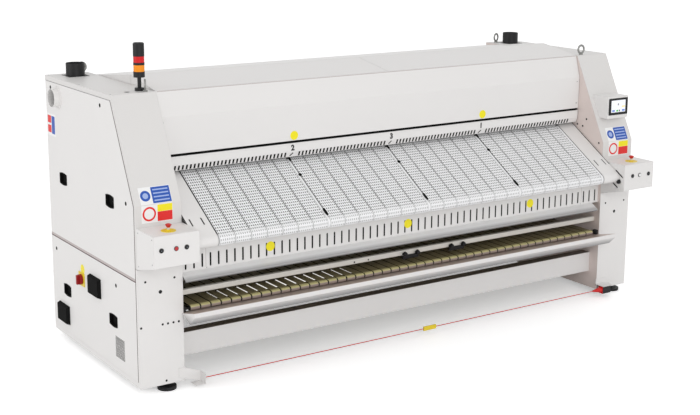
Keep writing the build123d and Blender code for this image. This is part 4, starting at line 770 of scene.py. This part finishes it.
def makePlainStrips(v):
    # flat on the slope and bent round the nose
    top, under = v["depths"]
    turns = [math.pi * feedBelt["radius"] * k / v["noseSteps"] for k in range(v["noseSteps"] + 1)]
    bm = bmesh.new()
    for x in v["places"]:
        right = x - v["clear"]
        addPrism(bm, tablePoint(right - v["width"] / 2, v["to"] / 2), *tablePlane,
                 rounded(v["width"], v["to"], 0.001), -under, -top)
        addSheet(bm, (right - v["width"], right), *[[beltPoint(feedBelt, s, depth) for s in turns]
                                                    for depth in v["depths"]])
    keepShape(bm, "beltStrips", "feedBelt")


makeDividers(divider)
makePlainStrips(plainStrip)

# dark strips of painted shade that close gaps: above the guard strip, behind the apron's slots, under the exit belts
gapShadeStrips = [
    ((0, -0.288, 1.4095), frontPlane, (3.514, 0.0155, 0.002), -0.008, 0.0),
    ((0, -0.548, 0.7885), frontPlane, (3.5, 0.098, 0.002), -0.0015, -0.0003),
    ((0, -0.31, 0.5125), topPlane, (3.42, 0.47, 0.002), -0.001, 0.0),
    # a dark sheet of painted shade under the feed belts, seen through their holes
    (tablePoint(0, 0.315), tablePlane, (3.184, 0.53, 0.002), -0.0032, -0.0023)]
# the joints between the end covers and the cabinets
gapShadeStrips += [(tablePoint(x, 0.35), tablePlane, (0.005, 0.5, 0.001), -0.001, 0.0005) for x in (-1.7545, 1.7545)]
makeFlat("gapShadeStrips", gapShadeStrips, "rubber")

# glowing pale strips between the exit belts on the left, the widest in the middle: painted light, for light that shows
# through the gaps
gapLightStrip = {"gaps": (3, 17), "y": -0.443, "z": 0.515, "length": 0.14, "corner": 0.0012, "width": 0.003,
              "more": 0.0072}


def makeGapLightStrips(v, belts):
    pitch = 2 * belts["half"] / belts["count"]
    first, last = v["gaps"]
    rows = []
    for k in range(first, last + 1):
        width = v["width"] + v["more"] * math.sin(math.pi * (k - first) / (last - first))
        rows.append(((pitch * k - belts["half"], v["y"], v["z"]), topPlane, (width, v["length"], v["corner"]),
                     -0.0005, 0.0003))
    makeFlat("gapLightStrips", rows, "strip")


makeGapLightStrips(gapLightStrip, exitBelt)

# the joint between the hood's front and the lids, the joints at the apron's ends, the guard's upper lip
hoodSeam = {"top": (-0.255, 1.815), "bend": (-0.301, 1.655), "drop": 0.004, "half": 1.75, "width": 0.0045,
            "apronJoints": (-1.585, 1.585)}


def makeHoodSeams(v):
    top, bend = Vector((0, *v["top"])), Vector((0, *v["bend"]))
    rise = (top - bend).normalized()
    rows = [(top - rise * v["drop"], (toRight, rise), (2 * v["half"], v["width"], 0.0005), -0.0003, 0.0003)]
    rows += [((x, -0.55, 0.829), frontPlane, (0.003, 0.17, 0.0005), -0.0003, 0.0003) for x in v["apronJoints"]]
    makeFlat("hoodSeams", rows, "band")
    lip = ((0, -0.29995, 1.3955), frontPlane, (2 * guard["half"], 0.0125, 0.0005), -0.002, 0.0)
    makeFlat("guardLip", [lip], "white", "guard", steps=1)


makeHoodSeams(hoodSeam)
print("marks and strips done")

# ---- screws, plugs and rivets
quarter = math.pi / 2
facing = {"left": (0, -quarter, 0), "right": (0, quarter, 0), "front": (quarter, 0, 0), "rear": (-quarter, 0, 0),
          "up": (0, 0, 0)}


def heads(name, points, side, radius, height, look, taper=0.6, sides=14, body="machine"):
    mesh = bpy.data.meshes.new("points")
    mesh.from_pydata(points, [], [])
    grow(name, mesh, headTree, {"Radius": radius, "Height": height, "Taper": taper, "Sides": sides,
                                "Tilt": facing[side], "Material": finish[look]}, body)


def mirrored(points):
    return [(-x, y, z) for x, y, z in points]


sideScrews = [(outer, y, z) for y, z in ((0.718, 1.742), (-0.097, 1.731), (-0.440, 1.182), (0.726, 0.634),
                                         (-0.256, 0.623))]
pillarPlugs = [(s * x, pillarFront, z) for s in (-1, 1) for x, z in ((2.010, 0.719), (1.816, 0.719), (1.885, 0.069))]
pillarPlugs += [(x, pillarFront, 0.4345) for x in (-1.902, -1.866, -1.829, -1.793, -2.045)]
pillarPlugs += [(x, pillarFront, z) for x, z in ((1.84, 0.427), (1.852, 0.425), (1.865, 0.420), (1.878, 0.412))]
hoodScrews = [(s * 1.735, -0.2975, z) for s in (-1, 1) for z in (1.622, 1.458)]
wallScrews = [(inner, y, z) for y, z in ((-0.392, 1.344), (-0.355, 1.286), (-0.297, 1.293), (-0.533, 1.182),
                                         (-0.402, 1.150))]
topScrews = [(s * (outer - 0.012), y, cabinetTop) for s in (-1, 1) for y in (-0.235, 0.25, 0.78)]
apronScrews = [(x, -0.55, z) for z in (0.738, 0.905) for x in (-1.58, 1.58)]
rearScrews = [(s * x, 0.81, z) for s in (-1, 1) for x in (0.0, 0.58, 1.16, 1.735) for z in (0.11, 0.92, 1.76)
              if x or s > 0]
boxScrews = [(outer, y, z) for y, z in ((-0.600, 1.035), (-0.790, 1.035), (-0.790, 0.885), (-0.600, 0.830))]
for row in (
        ("leftScrews", mirrored(sideScrews), "left", 0.013, 0.0014, "rubber"),
        ("rightScrews", sideScrews, "right", 0.013, 0.0014, "rubber"),
        ("pillarPlugs", pillarPlugs, "front", 0.0075, 0.0012, "black", 0.8),
        ("pillarCaps", [(s * 1.912, pillarFront, 0.643) for s in (-1, 1)], "front", 0.012, 0.0016, "black", 0.8),
        ("hoodScrews", hoodScrews, "front", 0.006, 0.006, "screw"),
        ("rightWallScrews", wallScrews, "left", 0.008, 0.003, "black"),
        ("leftWallScrews", mirrored(wallScrews), "right", 0.008, 0.003, "black"),
        ("topScrews", topScrews, "up", 0.006, 0.002, "screw"),
        ("apronScrews", apronScrews, "front", 0.004, 0.0015, "screw"),
        ("rearScrews", rearScrews, "rear", 0.007, 0.0014, "screw"),
        ("leftBoxScrews", mirrored(boxScrews), "left", 0.005, 0.0018, "screw"),
        ("rightBoxScrews", boxScrews, "right", 0.005, 0.0018, "screw"),
        ("boxKnob", [(inner, -0.761, 0.927)], "left", 0.017, 0.016, "black", 0.85, 24),
        # painted shade: black discs for the holes in the bar
        ("barHoles", [(x, -0.52, 0.589) for x in (-0.452, -0.338)], "front", 0.006, 0.001, "black", 0.9)):
    heads(*row)

# button centres, a paler dimple on each black button
buttons = {"left_outer_button": -2.010, "left_inner_button": -1.846, "right_inner_button": 1.844,
           "right_outer_button": 2.011}
for body, x in buttons.items():
    heads("centre_" + body, [(x, -0.8172, 0.969)], "front", 0.003, 0.001, "grey", 0.5, 16, body)

# clamps: a black cover with two ears and two round heads over each clamp of the bar
clamp = {"places": (0.010, 0.415), "front": -0.53, "cover": (0.132, 0.025, 0.004), "ear": (0.019, 0.02, 0.004),
         "earAside": 0.056, "coverHeight": 0.563, "earHeight": 0.584, "headAside": 0.053, "headOut": 0.006,
         "headHeight": 0.588, "headRadius": 0.017, "headLength": 0.016}


def makeClamps(v):
    rows, places = [], []
    for x in v["places"]:
        rows.append(((x, v["front"], v["coverHeight"]), frontPlane, v["cover"], -0.0105, 0.001))
        for s in (-1, 1):
            rows.append(((x + s * v["earAside"], v["front"], v["earHeight"]), frontPlane, v["ear"], -0.0095, 0.001))
            places.append((x + s * v["headAside"], v["front"] - v["headOut"], v["headHeight"]))
    makeFlat("clampCovers", rows, "black")
    heads("clampHeads", places, "front", v["headRadius"], v["headLength"], "black", 0.75, 24)


makeClamps(clamp)

# ---- dark seams round the side panels with a paler band above the lower one, vent slits
seam = {"front": -0.5505, "frontSlope": 0.027, "split": 0.7185, "low": 0.083, "rear": 0.808, "top": 1.782,
        "width": 0.006, "proud": 0.0004, "band": 0.016, "bandRise": 0.011}
vent = {"y": -0.292, "z": 0.222, "width": 0.138, "pitch": 0.0081, "count": 17, "slit": 0.0036}


def seamRow(s, start, end, width, high):
    start, end = Vector((s * outer, *start)), Vector((s * outer, *end))
    direction = (end - start).normalized()
    plane = (direction.cross(Vector((s, 0, 0))), direction)
    return (start + end) / 2, plane, (width, (end - start).length, width / 6), -0.0001, high


def makeSeams(v):
    low = Vector((0, pillarFront, knee)) + Vector((0, slopeUp.z, -slopeUp.y)) * v["frontSlope"]
    high = low + slopeUp * ((v["top"] - low.z) / slopeUp.z)
    band = v["split"] + v["bandRise"]
    dark = [((v["front"], v["low"]), (v["front"], low.z)), ((v["front"], low.z), (high.y, high.z)),
            ((v["front"], v["split"]), (v["rear"], v["split"]))]
    makeFlat("panelSeams", [seamRow(s, *line, v["width"], v["proud"]) for s in (-1, 1) for line in dark],
             "seam", steps=1)
    makeFlat("panelBands", [seamRow(s, (v["front"], band), (v["rear"], band), v["band"], v["proud"])
                            for s in (-1, 1)], "band", steps=1)


def makeVents(v):
    heights = [v["z"] + (k - (v["count"] - 1) / 2) * v["pitch"] for k in range(v["count"])]
    makeFlat("ventSlits", [((s * outer, v["y"], z), ((0, s, 0), (0, 0, 1)), (v["width"], v["slit"], 0.0012),
                            -0.0001, 0.0003) for s in (-1, 1) for z in heights],
             "ventDark", steps=1)


makeSeams(seam)
makeVents(vent)

# ---- gutter: one folded sheet with a rounded lip
gutter = {"corner": (-0.55, 0.73), "ends": (-1.757, 1.7), "sheet": 0.002, "sharp": 50,
          "path": ((0.03, 0.0), (-0.001, 0.0), (-0.054, -0.032), (-0.0595, -0.0345), (-0.062, -0.039),
                   (-0.062, -0.045), (-0.0595, -0.049), (-0.055, -0.051), (-0.042, -0.052))}


def keepSmooth(bm, name, look, node, sharpAngle):
    # a rounded piece in place of one node, with its sharp edges kept
    mesh = meshFrom(bm, name, smooth=True)
    mesh.set_sharp_from_angle(angle=math.radians(sharpAngle))
    obj = keep(name, mesh, "machine", finish[look])
    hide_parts(node)


def makeGutter(v):
    path = [Vector((v["corner"][0] + a, v["corner"][1] + b)) for a, b in v["path"]]
    under = []
    for i, point in enumerate(path):
        before, after = path[max(i - 1, 0)], path[min(i + 1, len(path) - 1)]
        direction = (after - before).normalized()
        under.append(point + Vector((-direction.y, direction.x)) * v["sheet"])
    bm = bmesh.new()
    addSheet(bm, v["ends"], path, under)
    keepSmooth(bm, "gutterSheet", "gutter", "gutter", v["sharp"])


makeGutter(gutter)

# ---- lifting eyes, the front left one turned as in the photo
eyes = {"x": 1.82, "y": (-0.24, 0.755), "floor": 1.815, "base": 0.01, "baseRadius": 0.014, "baseSides": 24,
        "ring": 0.02925, "section": (0.00825, 0.006), "rise": 0.0425, "around": 36, "across": 12, "sharp": 50,
        "turns": ((-1, 0, 65.0), (1, 0, 0.0), (-1, 1, 0.0), (1, 1, 20.0))}


def makeEyes(v):
    bm = bmesh.new()
    for side, row, turn in v["turns"]:
        center = Vector((side * v["x"], v["y"][row], v["floor"] + v["rise"]))
        axis = Vector((math.cos(math.radians(turn)), math.sin(math.radians(turn)), 0))
        normal = Vector((-axis.y, axis.x, 0))
        rings = []
        for i in range(v["around"]):
            a = 2 * math.pi * i / v["around"]
            out = axis * math.cos(a) + Vector((0, 0, 1)) * math.sin(a)
            angles = [2 * math.pi * k / v["across"] for k in range(v["across"])]
            rings.append([bm.verts.new(center + out * (v["ring"] + v["section"][0] * math.cos(b)) +
                                       normal * v["section"][1] * math.sin(b)) for b in angles])
        for a, b in zip(rings, rings[1:] + rings[:1]):
            joinRings(bm, b, a)
        addPrism(bm, (center.x, center.y, v["floor"]), *topPlane, disc(v["baseRadius"], steps=v["baseSides"]), 0.0,
                 v["base"])
    keepSmooth(bm, "liftingEyes", "zinc", "lifting_eyes", v["sharp"])


makeEyes(eyes)

# ---- operator panel's screen: name, colour, glow, outlines, low, high
screen = {"place": (1.9065, -0.573, 1.456), "shapes": (
    ("screenFace", (0.78, 0.8, 0.86), 0.275, [rounded(0.146, 0.091, 0.002)], 0.0001, 0.0006),
    ("screenBlue", (0.12, 0.22, 0.6), 0.25, [rounded(0.028, 0.013, 0.002, x=-0.05, y=-0.033),
                                            rounded(0.03, 0.013, 0.002, x=0.053, y=-0.033)], 0.0005, 0.0009),
    ("screenGreen", (0.1, 0.5, 0.1), 0.25, [rounded(0.02, 0.013, 0.002, x=-0.011, y=-0.034)], 0.0005, 0.0009),
    ("screenYellow", (0.85, 0.7, 0.2), 0.25, [rounded(0.036, 0.009, 0.002, x=0.052, y=-0.004)], 0.0005, 0.0009),
    ("screenGrey", (0.12, 0.12, 0.13), 0.05, [rounded(0.01, 0.015, 0.003, x=-0.002, y=0.014),
                                             rounded(0.012, 0.013, 0.002, x=0.012, y=-0.034)], 0.0005, 0.0009))}


def makeScreen(v):
    for name, color, glow, outlines, low, high in v["shapes"]:
        bm = bmesh.new()
        for outline in outlines:
            addPrism(bm, v["place"], *frontPlane, outline, low, high)
        finish[name] = makeMaterial(name, color, 0.2, scale=300, bump=0.0, emission=glow)
        keepShape(bm, name, name)


makeScreen(screen)
print("details done")

# ---- floor, light
stage = {"floorSize": 60.0, "floorColor": (0.96, 0.96, 0.96), "floorRoughness": 0.6, "floorLift": 0.38,
         "worldStrength": 0.76}


def makeStage(v):
    half = v["floorSize"] / 2
    mesh = bpy.data.meshes.new("floor")
    mesh.from_pydata([(-half, -half, 0), (half, -half, 0), (half, half, 0), (-half, half, 0)], [], [(0, 1, 2, 3)])
    floor = bpy.data.objects.new("floor", mesh)
    bpy.context.collection.objects.link(floor)
    mat = bpy.data.materials.new("paleFloor")
    mat.use_nodes = True
    tree = mat.node_tree
    shader = tree.nodes["Principled BSDF"]
    shader.inputs["Base Color"].default_value = (*v["floorColor"], 1)
    shader.inputs["Roughness"].default_value = v["floorRoughness"]
    shader.inputs["Emission Color"].default_value = (1, 1, 1, 1)
    ray = addNode(tree, "ShaderNodeLightPath")
    lift = addNode(tree, "ShaderNodeMath", {0: ray.outputs["Is Camera Ray"], 1: v["floorLift"]}, operation="MULTIPLY")
    tree.links.new(lift.outputs[0], shader.inputs["Emission Strength"])
    mesh.materials.append(mat)
    world = bpy.data.worlds.new("studio")
    bpy.context.scene.world = world
    world.use_nodes = True
    tree = world.node_tree
    back = tree.nodes["Background"]
    back.inputs["Color"].default_value = (1, 1, 1, 1)
    ray = addNode(tree, "ShaderNodeLightPath")
    seen = addNode(tree, "ShaderNodeMath", {0: ray.outputs["Is Camera Ray"], 1: ray.outputs["Is Glossy Ray"]},
                   operation="MAXIMUM")
    level = addNode(tree, "ShaderNodeMapRange", {"Value": seen.outputs[0], "To Min": v["worldStrength"], "To Max": 1.0})
    tree.links.new(level.outputs[0], back.inputs["Strength"])


# name, place, target, size, power
lights = [("keyLight", (-3.2, -13.0, 5.6), (0.3, 0, 0.8), 6.0, 430),
          ("leftLight", (-9.0, 0.5, 3.0), (0, 0, 1.0), 4.0, 100)]


def softLight(name, place, target, size, power):
    data = bpy.data.lights.new(name, "AREA")
    data.shape, data.size, data.energy = "DISK", size, power
    obj = bpy.data.objects.new(name, data)
    bpy.context.collection.objects.link(obj)
    obj.location = place
    obj.rotation_mode = "QUATERNION"
    obj.rotation_quaternion = (Vector(target) - Vector(place)).to_track_quat("-Z", "Y")


makeStage(stage)
for row in lights:
    softLight(*row)
print("stage ready")

bpy.context.scene.view_settings.view_transform = "Standard"
bpy.context.view_layer.update()
